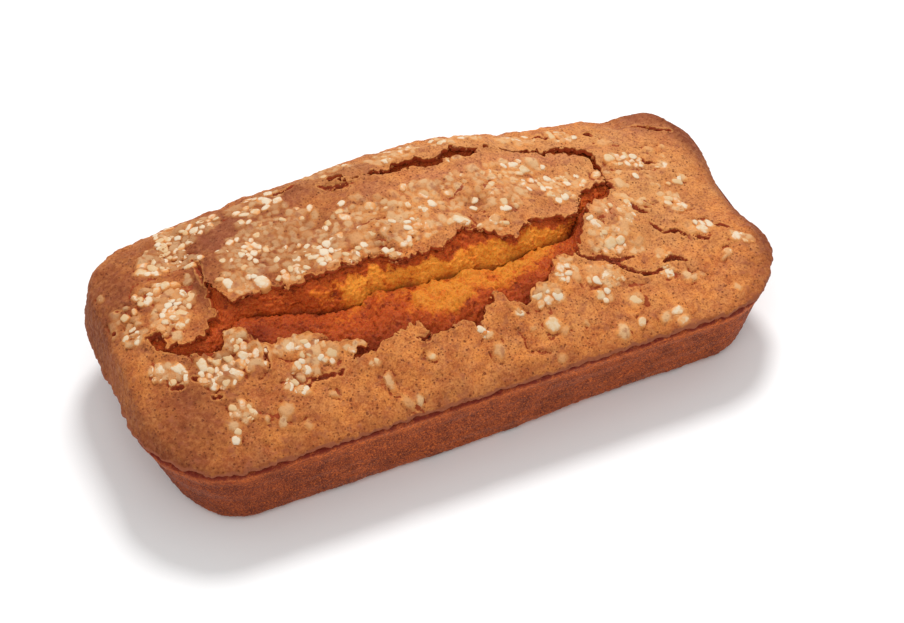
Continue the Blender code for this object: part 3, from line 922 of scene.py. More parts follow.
@dataclass
class CrustTop:
    """The thin crust of the crown, torn open over the crumb."""

    form: LoafForm
    tears: Tears
    sugar: PearlSugar
    columns: int = 430
    rows: int = 208
    thickness: float = 1.5
    gash_depth: float = 1.35
    lining_step: int = 9
    HEM: ClassVar[tuple[tuple[float, float, float, float], ...]] = (
        (0.4, 0.7, -0.12, 0.35), (0.5, 1.4, -0.2, 0.8), (-0.05, 2.2, -0.1, 1.15), (-1.5, 2.7, 0.8, 1.2),
    )
    bumps: Unevenness = field(default_factory=lambda: Unevenness(7))
    ground: Array | None = None
    normals: Array | None = None

    def build(self) -> Sheet:
        """Builds the crust as a closed shell.

        Returns:
            The crust with its colour masks, its edges turned under.
        """
        plan_x, plan_y = self._grid()
        base = self.form.surface(plan_x, plan_y)
        self.ground, self.normals = base, self._normals(base)
        torn = self._torn(base)
        step_i, step_j, gap = self._snap(torn)
        x = np.interp(step_i, np.arange(self.columns + 1), plan_x[:, 0])
        y = np.interp(step_j, np.arange(self.rows + 1), plan_y[0])
        points = self.form.surface(x, y).reshape(-1, 3)
        normals = self.normals.reshape(-1, 3)
        masks, rise = self._dress(points, gap.reshape(-1))
        points = points + normals * rise[:, None]
        faces = self._faces(gap)
        return self._trim(Sheet(points, faces, masks), normals, torn)

    def stand(self, x: float, y: float) -> tuple[Array, Array]:
        """Finds the crust under a place.

        Args:
            x: place along the loaf.
            y: place across the loaf.

        Returns:
            The point on the crust and the direction out of it.
        """
        away = (self.ground[..., 0] - x) ** 2 + (self.ground[..., 1] - y) ** 2
        k = np.unravel_index(np.argmin(away), away.shape)
        return np.array([x, y, self.ground[k][2]]), self.normals[k]

    def _grid(self) -> tuple[Array, Array]:
        """Plan positions of the crust's grid, evenly spaced on the dome."""
        along = self.form.even_steps(self.columns, lengthwise=True)
        across = self.form.even_steps(self.rows, lengthwise=False)
        return np.meshgrid(along, across, indexing="ij")

    @staticmethod
    def _normals(points: Array) -> Array:
        """Directions out of a grid of points."""
        along, across = np.gradient(points, axis=0), np.gradient(points, axis=1)
        normal = np.cross(along, across)
        return normal / np.linalg.norm(normal, axis=-1, keepdims=True)

    def _torn(self, base: Array) -> Array:
        """Distance to the nearest tear at each grid point, negative inside."""
        x, y = base[..., 0].reshape(-1), base[..., 1].reshape(-1)
        return self.tears.wide(x, y).reshape(base.shape[:2])

    @staticmethod
    def _snap(gap: Array) -> tuple[Array, Array, Array]:
        """Moves grid points that lie near a torn edge onto it.

        Args:
            gap: distance to the nearest tear over the grid.

        Returns:
            The moved grid positions along and across, and the new distances.
        """
        slope_i, slope_j = np.gradient(gap)
        steep = slope_i**2 + slope_j**2 + 1e-12
        move_i, move_j = -gap * slope_i / steep, -gap * slope_j / steep
        near = np.hypot(move_i, move_j) < 0.56
        i, j = np.meshgrid(np.arange(gap.shape[0]), np.arange(gap.shape[1]), indexing="ij")
        i = np.clip(i + np.where(near, move_i, 0.0), 0, gap.shape[0] - 1)
        j = np.clip(j + np.where(near, move_j, 0.0), 0, gap.shape[1] - 1)
        return i, j, np.where(near, 0.0, gap)

    @staticmethod
    def _faces(gap: Array) -> Array:
        """Triangles of the grid that lie outside the tears."""
        count_i, count_j = gap.shape
        index = np.arange(count_i * count_j).reshape(count_i, count_j)
        a, b, c, d = index[:-1, :-1], index[1:, :-1], index[1:, 1:], index[:-1, 1:]
        flat = gap.reshape(-1)
        rising = (np.add.outer(np.arange(count_i - 1), np.arange(count_j - 1)) % 2).astype(bool)
        on_edge = (flat[a] == 0) & (flat[c] == 0)
        off_edge = (flat[b] == 0) & (flat[d] == 0)
        split_ac = (rising & ~off_edge) | on_edge
        first = np.where(split_ac[..., None], np.stack([a, b, c], -1), np.stack([a, b, d], -1))
        second = np.where(split_ac[..., None], np.stack([a, c, d], -1), np.stack([b, c, d], -1))
        faces = np.concatenate([first.reshape(-1, 3), second.reshape(-1, 3)])
        corners = flat[faces]
        return faces[(corners.min(axis=1) >= 0) & (corners.max(axis=1) > 0)]

    def _dress(self, points: Array, gap: Array) -> tuple[dict[str, Array], Array]:
        """Works out the crust's relief and the masks of its colour.

        Args:
            points: places on the smooth dome.
            gap: distance to the nearest tear.

        Returns:
            The masks by name, and the rise of each place out of the dome.
        """
        x, y, _ = points.T
        bumps = self.bumps
        to_rim = self._to_rim(x, y)
        calm = fade(to_rim, 0.0, 4.0)
        sugar_rise, touch, white = self.sugar.lift(points)
        hair = np.minimum(self.tears.hairline(x, y), self._fissures(points, touch))
        gash = self.tears.narrow(x, y)
        rise = 0.38 * calm * bumps.layered(points + 50.0, 4.2, 3, 0.55)
        rise += 0.15 * bumps.layered(points, 1.3, 2, 0.7)
        curl = 0.5 + 0.5 * bumps.at(points + 90.0, 5.0)
        rise += 0.7 * curl * calm * bell(gap, 1.4) - 0.7 * bell(hair, 0.35)
        rise += 0.45 * curl * bell(gash - 0.7, 0.8)
        rise = (rise + sugar_rise) * fade(gash, -0.5, 0.4) - self.gash_depth * (1.0 - fade(gash, -0.75, 0.35))
        cloudy = bumps.layered(points + 20.0, 7.0, 3)
        rose = np.clip(sum(patch.at(x, y) for patch in ROSE_PATCHES) + 0.25 * cloudy, 0, 1)
        # Darker bake near the rim and in the patches, part of which is painted shade; this feeds the bake mask.
        dark = sum(patch.at(x, y) for patch in BAKE_AND_SHADE_PATCHES) + 0.13 * bumps.layered(points + 70.0, 6.0, 3)
        # Paler crust in the patches, part of which is painted light; this feeds the pale mask.
        pale = sum(patch.at(x, y) for patch in PALE_AND_LIT_PATCHES) + 0.3 * bumps.layered(points + 130.0, 5.0, 3)
        masks = {
            "touch": touch,
            "white": white,
            "rose": rose,
            "bake": np.clip(dark + 0.3 * bell(to_rim, 2.2), 0, 1),
            "pale": np.clip(pale, 0, 1),
            "edge": np.clip(1.0 - gap / 3.0, 0, 1),
            "hair": np.clip(1.0 - hair / 2.0, 0, 1),
            "gash": np.clip(0.5 - gash / 3.0, 0, 1),
            "under": np.zeros(len(points)),
            "turn": np.zeros(len(points)),
        }
        return masks, rise

    def _fissures(self, points: Array, touch: Array) -> Array:
        """Distance to the fine cracks that run between the lumps of sugar."""
        x, y, _ = points.T
        veins = 1.9 * np.abs(self.bumps.layered(points + 200.0, 4.6, 2, 0.5))
        beside = fade(touch, 0.06, 0.20) * (1.0 - fade(touch, 0.52, 0.60))
        around = np.maximum(fade(-y, -6.0, 4.0), np.maximum(fade(-x, 58.0, 70.0), fade(x, 50.0, 60.0)))
        broken = fade(self.bumps.at(points + 230.0, 6.0), -0.45, -0.05)
        return veins + 0.9 * (1.0 - np.clip(1.8 * beside * around * broken, 0.0, 1.0))

    def _to_rim(self, x: Array, y: Array) -> Array:
        """Distance in plan from each place to the rim."""
        radius = self.form.corner_radius
        over_x = np.abs(x) - (self.form.length / 2 - radius)
        over_y = np.abs(y) - (self.form.width / 2 - radius)
        corner = np.hypot(np.maximum(over_x, 0), np.maximum(over_y, 0))
        return np.clip(radius - np.maximum(corner, np.maximum(over_x, over_y)), 0, None)

    def _trim(self, sheet: Sheet, normals: Array, torn: Array) -> Sheet:
        """Turns the crust's edges under: a lip at the rim, a torn edge at the tears."""
        count = len(sheet.points)
        i, j = np.divmod(np.arange(count), self.rows + 1)
        at_rim = (i == 0) | (i == self.columns) | (j == 0) | (j == self.rows)
        slope_i, slope_j = np.gradient(torn)
        size = np.hypot(slope_i, slope_j) + 1e-9
        inward = np.stack([slope_i / size, slope_j / size, np.zeros_like(size)], -1).reshape(-1, 3)
        out_x, out_y = self.form.outward(sheet.points[:, 0], sheet.points[:, 1])
        outward = np.stack([out_x, out_y, np.zeros(count)], axis=1)
        down = np.array([0.0, 0.0, -1.0])
        wobble = (0.3 * self.bumps.at(sheet.points, 3.0) + 0.16 * self.bumps.at(sheet.points + 11.0, 1.1))[:, None]
        thick = self.thickness * (1.0 + wobble)
        rings = []
        for lip, drop, under, depth in self.HEM:
            at_lip = outward * (lip + 1.6 * wobble) + down * (drop + 1.0 * wobble)
            at_tear = inward * under - normals * thick * depth
            rings.append(np.where(at_rim[:, None], at_lip, at_tear))
        share = 1.0 / len(self.HEM)
        sheet.hem(rings, {"under": np.where(at_rim, 0.0, share), "turn": np.where(at_rim, share, 0.0)})
        used = np.unique(sheet.faces)
        order = np.full(len(sheet.points), -1)
        order[used] = np.arange(len(used))
        masks = {name: values[used] for name, values in sheet.masks.items()}
        return self._line(Sheet(sheet.points[used], order[sheet.faces], masks), torn, normals)

    def _line(self, sheet: Sheet, torn: Array, normals: Array) -> Sheet:
        """Closes the crust from below, leaving the tears open."""
        rim = boundary_edges(sheet.faces, len(sheet.points))
        ends = np.unique(rim)
        order = np.zeros(len(sheet.points), int)
        order[ends] = np.arange(len(ends))
        inner = self._inner_points(torn, normals)
        points = np.concatenate([sheet.points, inner])
        ids_in = np.concatenate([ends, len(sheet.points) + np.arange(len(inner))])
        flat = [Vector(point[:2]) for point in points[ids_in]]
        made = delaunay_2d_cdt(flat, order[rim].tolist(), [], 0, 1e-5)
        source = [ids_in[ids[0]] if ids else -1 for ids in made[3]]
        faces = np.array([[source[k] for k in face] for face in made[2]])
        faces = faces[faces.min(axis=1) >= 0]
        middle = points[faces].mean(axis=1)
        under = faces[self.tears.wide(*middle.T[:2]) > 0.1][:, ::-1]
        more = len(inner)
        masks = {name: np.concatenate([values, np.full(more, values[ends[0]])]) for name, values in sheet.masks.items()}
        return Sheet(points, np.concatenate([sheet.faces, under]), masks)

    def _inner_points(self, torn: Array, normals: Array) -> Array:
        """Places on the crust's underside, well away from its edges."""
        step = self.lining_step
        inside = np.zeros_like(torn, bool)
        inside[step:-step:step, step:-step:step] = True
        chosen = (inside & (torn > 2.5)).reshape(-1)
        return self.ground.reshape(-1, 3)[chosen] - normals[chosen] * self.thickness


@dataclass
class TornCrumbs:
    """Crumbs that hang on along the torn edges."""

    tears: Tears
    ground: CrustTop
    seed: int = 53
    count: int = 700
    size: float = 0.60
    detail: int = 1

    def build(self) -> Sheet:
        """Strews the crumbs.

        Returns:
            The crumbs, with a mask of how golden each is.
        """
        rng = np.random.default_rng(self.seed)
        ball, ball_faces = round_ball(self.detail)
        half_x, half_y = self.ground.form.length / 2 - 8, self.ground.form.width / 2 - 6
        x = rng.uniform(-half_x, half_x, 60 * self.count)
        y = rng.uniform(-half_y, half_y, 60 * self.count)
        gap = np.minimum(self.tears.wide(x, y), self.tears.narrow(x, y))
        chosen = np.nonzero((gap > -0.45) & (gap < 0.9 * rng.uniform(0, 1, len(gap)) ** 2))[0][: self.count]
        places, faces, gold = [], [], []
        for k in chosen:
            foot, up = self.ground.stand(x[k], y[k])
            size = self.size * rng.lognormal(0.0, 0.35)
            shape = ball * (1 + 0.3 * rng.normal(size=(len(ball), 1))) * rng.uniform(0.7, 1.2, 3) * size / 2
            sunk = 0.1 * size if gap[k] > 0 else rng.uniform(0.1, 1.1)
            faces.append(ball_faces + len(ball) * len(places))
            places.append(foot + shape - up * sunk)
            gold.append(np.full(len(ball), np.clip(0.75 + gap[k] - 0.4 * sunk + rng.normal(0, 0.2), 0, 1)))
        return Sheet(np.concatenate(places), np.concatenate(faces), {"gold": np.concatenate(gold)})


# ------------------------------------------------------------------- the crumb


@dataclass
class CrumbBed:
    """The soft crumb under the crust, folded where the loaf split."""

    form: LoafForm
    front: Curve = Curve((
        (-105, -20), (-96, -13), (-91, -9), (-86.5, -11.5), (-80, -14.4), (-74.3, -15.6), (-71.7, -11.5),
        (-68, -11.5), (-64, -14.8), (-60, -19), (-50, -20), (-42, -25), (-34, -29), (-24, -29.5),
        (-14, -31), (0, -32), (8, -29), (14, -30.5), (22, -29), (29, -25), (34, -20), (41, -18),
        (46, -11.5), (51, -4), (56, -0.5), (62, 2), (66, 6), (75, 4), (105, -15),
    ))
    crease: Curve = Curve((
        (-105, -12), (-91, -7), (-84, -9.6), (-78, -11), (-73.5, -11.6), (-69, -7.5), (-64, -4.4), (-58, -4.6),
        (-54.8, -6.5), (-47, -8.1), (-41, -10.6), (-34.8, -11.6), (-29.5, -12.4), (-23.7, -10), (-17.3, -11.1),
        (-13.1, -11), (-8, -12.5), (4, -12.7), (8.7, -12.7), (16.6, -14.3), (24.2, -12.2), (31, -10.8),
        (38.1, -9.2), (43, -8), (49, -2), (56, 2.6), (62, 5.4), (66, 7.6), (75, 6), (105, -8),
    ))
    plate: Curve = Curve((
        (-105, -4), (-96, -1), (-91, -4.5), (-88, -7), (-84, -7), (-76, -8), (-74, -4), (-71.5, -1), (-66, -0.5),
        (-58, -1.2), (-46, -4), (-33, -4.6), (-20, -4.6), (-14, -8), (0, -8.2), (9, -4), (16, -8), (23, -10.6),
        (30, -6.6), (40, -5), (48, -4.6), (51, 1), (56, 5.3), (62, 7.6), (66, 9), (75, 8), (105, 4),
    ))
    near: Curve = Curve((
        (-105, 20), (-45, 27), (-30, 31), (-22, 27.6), (-14, 24.4), (-5, 24.6), (5, 24), (12, 22.4),
        (20, 25), (25, 23.6), (32, 27.6), (40, 25.2), (52, 24.2), (60, 21.8), (64, 19), (68, 14), (75, 17),
        (105, 20),
    ))
    bank: Curve = Curve((
        (-105, 26), (-45, 30), (-31, 33.5), (-22, 31), (-15, 29.8), (-5, 30), (8, 31.4), (14, 29.4),
        (20, 32), (28, 29.8), (40, 28.8), (57, 28.4), (63, 25.6), (68, 18), (75, 24), (105, 26),
    ))
    split_open: Curve = Curve((
        (-93, 0.0), (-88, 0.45), (-78, 0.5), (-68, 0.62), (-55, 0.8), (-40, 0.95), (-25, 1.0), (25, 1.0),
        (40, 0.75), (50, 0.55), (60, 0.45), (67, 0.0),
    ))
    crack_open: Curve = Curve(((-32, 0.0), (-24, 0.5), (-5, 1.0), (25, 1.0), (40, 0.8), (60, 0.8), (69, 0.0)))
    gold_back: Curve = Curve((
        (-92, 0.0), (-62, 0.0), (-52, 0.15), (-42, 0.14), (-34, 0.36), (-27, 0.70), (-15, 0.95), (0, 1.0), (38, 1.0),
        (45, 0.75), (51, 0.35), (56, 0.1), (62, 0.0),
    ))
    gold_front: Curve = Curve((
        (-92, 0.0), (-60, 0.04), (-48, 0.20), (-36, 0.36), (-24, 0.46), (-14, 0.74), (-6, 0.92), (2, 1.0), (16, 1.0),
        (24, 0.78), (34, 0.65), (44, 0.4), (54, 0.1), (62, 0.0),
    ))
    # Painted shade: darker spots where the crumb lies in shade under notches and holes of the torn crust.
    PAINTED_SHADE_SPOTS: ClassVar[tuple[Swell, ...]] = (
        Swell(-64, 0.5, 0.7, 3.5, 2.5), Swell(-61, -12.5, 0.7, 3.5, 2.6), Swell(-50, -15.5, 0.35, 4, 2),
        Swell(-35, -27, 0.4, 5, 2), Swell(-22, -26, 0.3, 4, 2), Swell(20, -26.5, 0.4, 3, 2.4),
        Swell(-80, -11, 0.35, 5, 2.5), Swell(47, -9, 0.3, 4, 3),
    )
    cover: float = 1.9
    sunk: float = 2.0
    split_depth: float = 6.8
    crack_depth: float = 4.2
    grain: Unevenness = field(default_factory=lambda: Unevenness(19))

    def build(self) -> Sheet:
        """Builds the crumb as one closed bed.

        Returns:
            The crumb, with masks of how golden it is, of its painted shade, and of its rear wall, which gets painted
            light.
        """
        half = self.form.length / 2 - 3.0
        x = np.concatenate([np.arange(-half, -96.0, 1.2), np.arange(-96.0, 72.0, 0.42), np.arange(72.0, half, 1.2)])
        rows = self._rows(x)
        points = np.stack([row[0] for row in rows])
        gold = np.stack([row[1] for row in rows])
        painted_shade = np.stack([row[2] for row in rows])
        rough = np.stack([row[3] for row in rows])
        normals = -CrustTop._normals(points)
        normals *= np.sign(normals[..., 2:] + 1e-9)
        flat = points.reshape(-1, 3)
        tall = flat * np.array([1.0, 1.0, 0.45])
        folds = self.grain.layered(tall, 6.0, 2, 0.6)
        curds = np.abs(self.grain.layered(flat + 31.0, 2.1, 2, 0.6))
        specks = self.grain.layered(flat + 77.0, 1.05, 2, 0.7)
        rise = (0.80 * folds - 0.80 * curds + 0.3 + 0.36 * specks) * rough.reshape(-1)
        flat = flat + normals.reshape(-1, 3) * rise[:, None]
        gold = gold.reshape(-1) + 0.35 * folds * np.sin(np.pi * np.clip(gold.reshape(-1), 0, 1)) - 0.12 * curds
        # The painted shade spots are added to the rows' painted shade.
        shade_spots = sum(patch.at(flat[:, 0], flat[:, 1]) for patch in self.PAINTED_SHADE_SPOTS)
        masks = {
            "gold": np.clip(gold + self._patches(flat), 0, 1),
            "painted_shade": np.clip(painted_shade.reshape(-1) + shade_spots, 0, 1),
            # Where the split's rear wall is, which gets painted light.
            "wall": fade(flat[:, 1] - self.crease.at(flat[:, 0]), 0.2, 1.4),
        }
        sheet = Sheet(flat, self._faces(points.shape[0], points.shape[1]), masks)
        down = np.zeros_like(sheet.points)
        down[:, 2] = -3.0
        sheet.hem([down], {})
        return sheet

    def _rows(self, x: Array) -> list[tuple[Array, Array, Array, Array]]:
        """The bed's rows from the front to the back.

        Args:
            x: the columns along the loaf.

        Returns:
            For each row its places, how golden it is, its painted shade, and how rough it is.
        """
        side = self.form.width / 2 - 3.0
        front, crease, plate, near, bank = (line.at(x) for line in (self.front, self.crease, self.plate, self.near, self.bank))
        split, crack = self.split_open.at(x), self.crack_open.at(x)
        gold_back, gold_front = self.gold_back.at(x), self.gold_front.at(x)
        rows: list[tuple[Array, Array, Array, Array]] = []
        none, full = np.zeros_like(x), np.ones_like(x)

        def add(y: Array, drop: Array, gold: Array, painted_shade: Array, rough: float = 1.0) -> None:
            """Adds one row that lies drop below the dome."""
            place = self.form.surface(x, y)
            place[..., 2] -= drop
            rows.append((place, gold, painted_shade, rough * full))

        def cross(start: Array, end: Array, count: int, drops: tuple[float, float], rough: float) -> None:
            """Adds hidden rows from one line to another."""
            for share in np.arange(count) / count:
                add(start + (end - start) * share, full * (drops[0] + (drops[1] - drops[0]) * share), none, none, rough)

        cross(-side * full, front - 3.0, 14, (self.sunk, self.sunk), 0.3)
        cross(front - 3.0, front - 0.2, 6, (self.sunk, self.cover), 0.4)
        low, high = self.form.surface(x, front - 0.2), self.form.surface(x, plate + 0.3)
        foot = self.form.surface(x, crease)
        low[..., 2] -= self.cover
        high[..., 2] -= self.cover
        foot[..., 2] -= self.cover + (self.split_depth - self.cover) * split
        reach = np.abs(crease - front)
        drips = self._drips(x)
        for share in np.arange(44) / 44:
            place = low + (foot - low) * share
            place[..., 2] += split * 1.9 * math.sin(math.pi * share**0.75) ** 0.8
            pinch = bell((1 - share) * reach, 0.34)
            place[..., 2] -= 1.5 * split * pinch
            # Painted shade: the front lobe keeps only 0.8 of its gold, and is darkened in the crease, just under the
            # torn front edge, and more where it is less golden, against the light on its up-facing top.
            gold = 0.80 * gold_front * fade(share + 0.8 * drips, 0.05, 0.75)
            painted_shade = np.maximum(0.75 * pinch, 0.45 * bell(share * reach, 1.8)) + 0.22 * (1.0 - gold)
            rows.append((place, gold, painted_shade, (0.25 + 0.75 * split) * (1 - 0.7 * pinch)))
        for share in np.arange(46) / 46:
            round_y, round_z = 1 - math.cos(math.pi / 2 * share), math.sin(math.pi / 2 * share)
            place = foot + (high - foot) * (0.5 * share + 0.5 * round_y)
            place[..., 2] = foot[..., 2] + (high - foot)[..., 2] * (0.5 * share + 0.5 * round_z)
            pinch = bell(share * 12.0 * full, 0.34)
            place[..., 2] -= 1.5 * split * pinch
            gold = gold_back * (1 - fade(share - 1.3 * drips, 0.50, 0.90))
            # Painted shade: darker at the wall's foot in the crease and at its top under the crust's edge.
            painted_shade = np.maximum(0.75 * pinch, 0.25 * float(fade(np.array(share), 0.93, 1.0)))
            rows.append((place, gold, painted_shade, (0.25 + 0.75 * split) * (1 - 0.7 * pinch)))
        cross(plate + 0.3, plate + 3.0, 6, (self.cover, self.sunk), 0.3)
        cross(plate + 3.0, near - 3.0, 14, (self.sunk, self.sunk), 0.3)
        cross(near - 3.0, near - 0.2, 6, (self.sunk, self.cover), 0.3)
        floor = 0.28
        for share in np.arange(26) / 26:
            hollow = float(fade(np.array(share), 0.0, floor) - fade(np.array(share), floor, 1.0))
            drop = self.cover + (self.crack_depth - self.cover) * crack * hollow
            # Painted shade on the floor of the back crack.
            add(near - 0.2 + (bank - near + 0.4) * share, drop, none, full * 0.35 * hollow, 1.0)
        cross(bank + 0.2, bank + 3.0, 6, (self.cover, self.sunk), 0.3)
        cross(bank + 3.0, side * full, 8, (self.sunk, self.sunk), 0.3)
        add(side * full, self.sunk * full, none, none, 0.3)
        return rows

    def _drips(self, x: Array) -> Array:
        """How far the brown runs down the wall, more or less, at each column."""
        place = np.stack([x, np.zeros_like(x), np.zeros_like(x)], axis=1)
        return 0.16 * self.grain.at(place + 5.0, 5.5) + 0.12 * self.grain.at(place + 15.0, 1.9)

    @staticmethod
    def _patches(points: Array) -> Array:
        """Where the crumb browned or stayed pale, away from the usual bands."""
        x, y = points[:, 0], points[:, 1]
        patches = (
            Swell(7, -26.5, -0.7, 4.0, 2.4), Swell(-22, -23.5, -0.6, 7, 3), Swell(-2, -20, 0.5, 6, 4),
            Swell(12, -7, -0.8, 5, 1.6), Swell(31, -9, 0.6, 5, 3), Swell(-34, -8, 0.3, 5, 3),
            Swell(40, -10, -0.3, 4, 4), Swell(26, -20, 0.3, 6, 4), Swell(0, -30, -0.4, 12, 1.8),
            Swell(21, -25, -0.9, 3.2, 3.2), Swell(2, -22, 0.3, 8, 3), Swell(36, -15, 0.3, 5, 3),
        )
        return sum(patch.at(x, y) for patch in patches)

    @staticmethod
    def _faces(rows: int, columns: int) -> Array:
        """Triangles over the grid of rows and columns."""
        index = np.arange(rows * columns).reshape(rows, columns)
        a, b, c, d = index[:-1, :-1], index[:-1, 1:], index[1:, 1:], index[1:, :-1]
        first, second = np.stack([a, b, c], -1), np.stack([a, c, d], -1)
        return np.concatenate([first.reshape(-1, 3), second.reshape(-1, 3)])


# ---------------------------------------------------------------- the pan side


@dataclass
class PanCrust:
    """The dark crust that baked against the tin: the sides and the base."""

    form: LoafForm
    columns: int = 1080
    rings: int = 66
    profile: tuple[tuple[float, float, float], ...] = (
        (-3.0, 25.6, 1.0), (-1.3, 25.2, 1.0), (-0.55, 24.7, 1.0), (-0.05, 24.1, 0.8), (-0.1, 23.4, 0.5),
        (-0.7, 22.3, 0.3), (-1.3, 20.8, 0.1),
        (-3.2, 13.5, 0.0), (-5.0, 5.2, 0.0), (-5.8, 2.8, 0.0), (-6.9, 1.2, 0.0), (-8.6, 0.3, 0.0),
        (-10.4, 0.05, 0.0), (-16.0, 0.05, 0.0), (-25.0, 0.05, 0.0),
    )
    grain: Unevenness = field(default_factory=lambda: Unevenness(29))

    def build(self) -> Sheet:
        """Builds the sides and base as one closed body.

        Returns:
            The body, with masks of the painted shade under the lip, the orange band, the painted shade towards the left
            end, and the pale foot.
        """
        x, y = self._outline()
        out_x, out_y = self.form.outward(x, y)
        outset, height, share = self._profile()
        lift = self.form.rim(x, y) - self.form.rim_height
        grid = np.zeros((len(outset), len(x), 3))
        push = sum(lump.out * lump.felt(x, y) for lump in self.form.lumps)
        for k in range(len(outset)):
            reach = outset[k] + push * share[k]
            grid[k, :, 0], grid[k, :, 1] = x + out_x * reach, y + out_y * reach
            grid[k, :, 2] = height[k] + lift * share[k]
        flat = grid.reshape(-1, 3)
        normals = self._closed_normals(grid).reshape(-1, 3)
        coarse = self.grain.layered(flat, 7.0, 2, 0.5)
        fine = self.grain.layered(flat + 40.0, 1.7, 3, 0.7)
        side = fade(flat[:, 2], 0.0, 2.0)
        rise = (0.22 * coarse + 0.19 * fine) * (0.15 + 0.85 * side)
        flat = self.form.lean(flat + normals * rise[:, None])
        flat[:, 2] = np.maximum(flat[:, 2], 0.0)
        along = np.stack([flat[:, 0], flat[:, 1], flat[:, 2] * 0.0], axis=1)
        wander = 0.9 * self.grain.layered(along, 14.0, 3)
        below_rim = np.tile(self.form.rim_height + lift, len(outset)) - flat[:, 2]
        masks = {
            # Painted shade: a dark line in the crevice under the lip, and fine dark lines in the band below it.
            "scorch_and_shade": np.clip(bell(below_rim - 3.1, 0.6) + 1.1 * bell(below_rim - 5.2 - wander, 0.45) * coarse, 0, 1),
            "band": np.clip(bell(below_rim - 4.6 - 0.5 * wander, 1.5) * (0.85 + 0.5 * coarse), 0, 1),
            # Painted shade: darker towards the left end of the side.
            "dim": 0.34 * fade(-flat[:, 0], 30.0, 95.0),
            "foot": np.clip(bell(flat[:, 2] - 0.8, 1.0 + 0.4 * wander) * (0.5 + 0.6 * coarse), 0, 1),
        }
        return Sheet(flat, self._faces(len(outset), len(x)), masks)

    def _outline(self) -> tuple[Array, Array]:
        """Evenly spaced places around the tin's outline."""
        radius = self.form.corner_radius
        long, short = self.form.length / 2 - radius, self.form.width / 2 - radius
        turns = np.linspace(0, 2 * math.pi, 4 * 400 + 1)
        corner_x = np.where(np.cos(turns) > 0, long, -long) + radius * np.cos(turns)
        corner_y = np.where(np.sin(turns) > 0, short, -short) + radius * np.sin(turns)
        run = np.concatenate([[0], np.cumsum(np.hypot(np.diff(corner_x), np.diff(corner_y)))])
        even = np.linspace(0, run[-1], self.columns, endpoint=False)
        return np.interp(even, run, corner_x), np.interp(even, run, corner_y)

    def _profile(self) -> tuple[Array, Array, Array]:
        """The side's outset, height and share of the rim's lumps, evenly spaced."""
        outset, height, share = np.array(self.profile).T
        step = np.hypot(np.diff(outset), np.diff(height))
        step[-2:] *= 0.22
        run = np.concatenate([[0], np.cumsum(step)])
        even = np.linspace(0, run[-1], self.rings)
        return np.interp(even, run, outset), np.interp(even, run, height), np.interp(even, run, share)

    @staticmethod
    def _closed_normals(grid: Array) -> Array:
        """Directions out of a grid that closes on itself around."""
        wide = np.concatenate([grid[:, -1:], grid, grid[:, :1]], axis=1)
        return -CrustTop._normals(wide)[:, 1:-1]

    @staticmethod
    def _faces(rings: int, columns: int) -> Array:
        """Triangles between the rings."""
        index = np.arange(rings * columns).reshape(rings, columns)
        ahead = np.roll(index, -1, axis=1)
        a, b, c, d = index[:-1], ahead[:-1], ahead[1:], index[1:]
        first, second = np.stack([a, c, b], -1), np.stack([a, d, c], -1)
        return np.concatenate([first.reshape(-1, 3), second.reshape(-1, 3)])


# ---------------------------------------------------------------- the finishes


def shade(red: int, green: int, blue: int) -> tuple[float, float, float, float]:
    """A colour as a printer states it, 0 to 255, turned into the renderer's values."""
    linear = [((value / 255 + 0.055) / 1.055) ** 2.4 if value > 10 else value / 3294.6 for value in (red, green, blue)]
    return (*linear, 1.0)


class Mode(Enum):
    """How one colour is laid over another."""

    COVER = "MIX"
    DARKEN = "MULTIPLY"
    GLAZE = "OVERLAY"


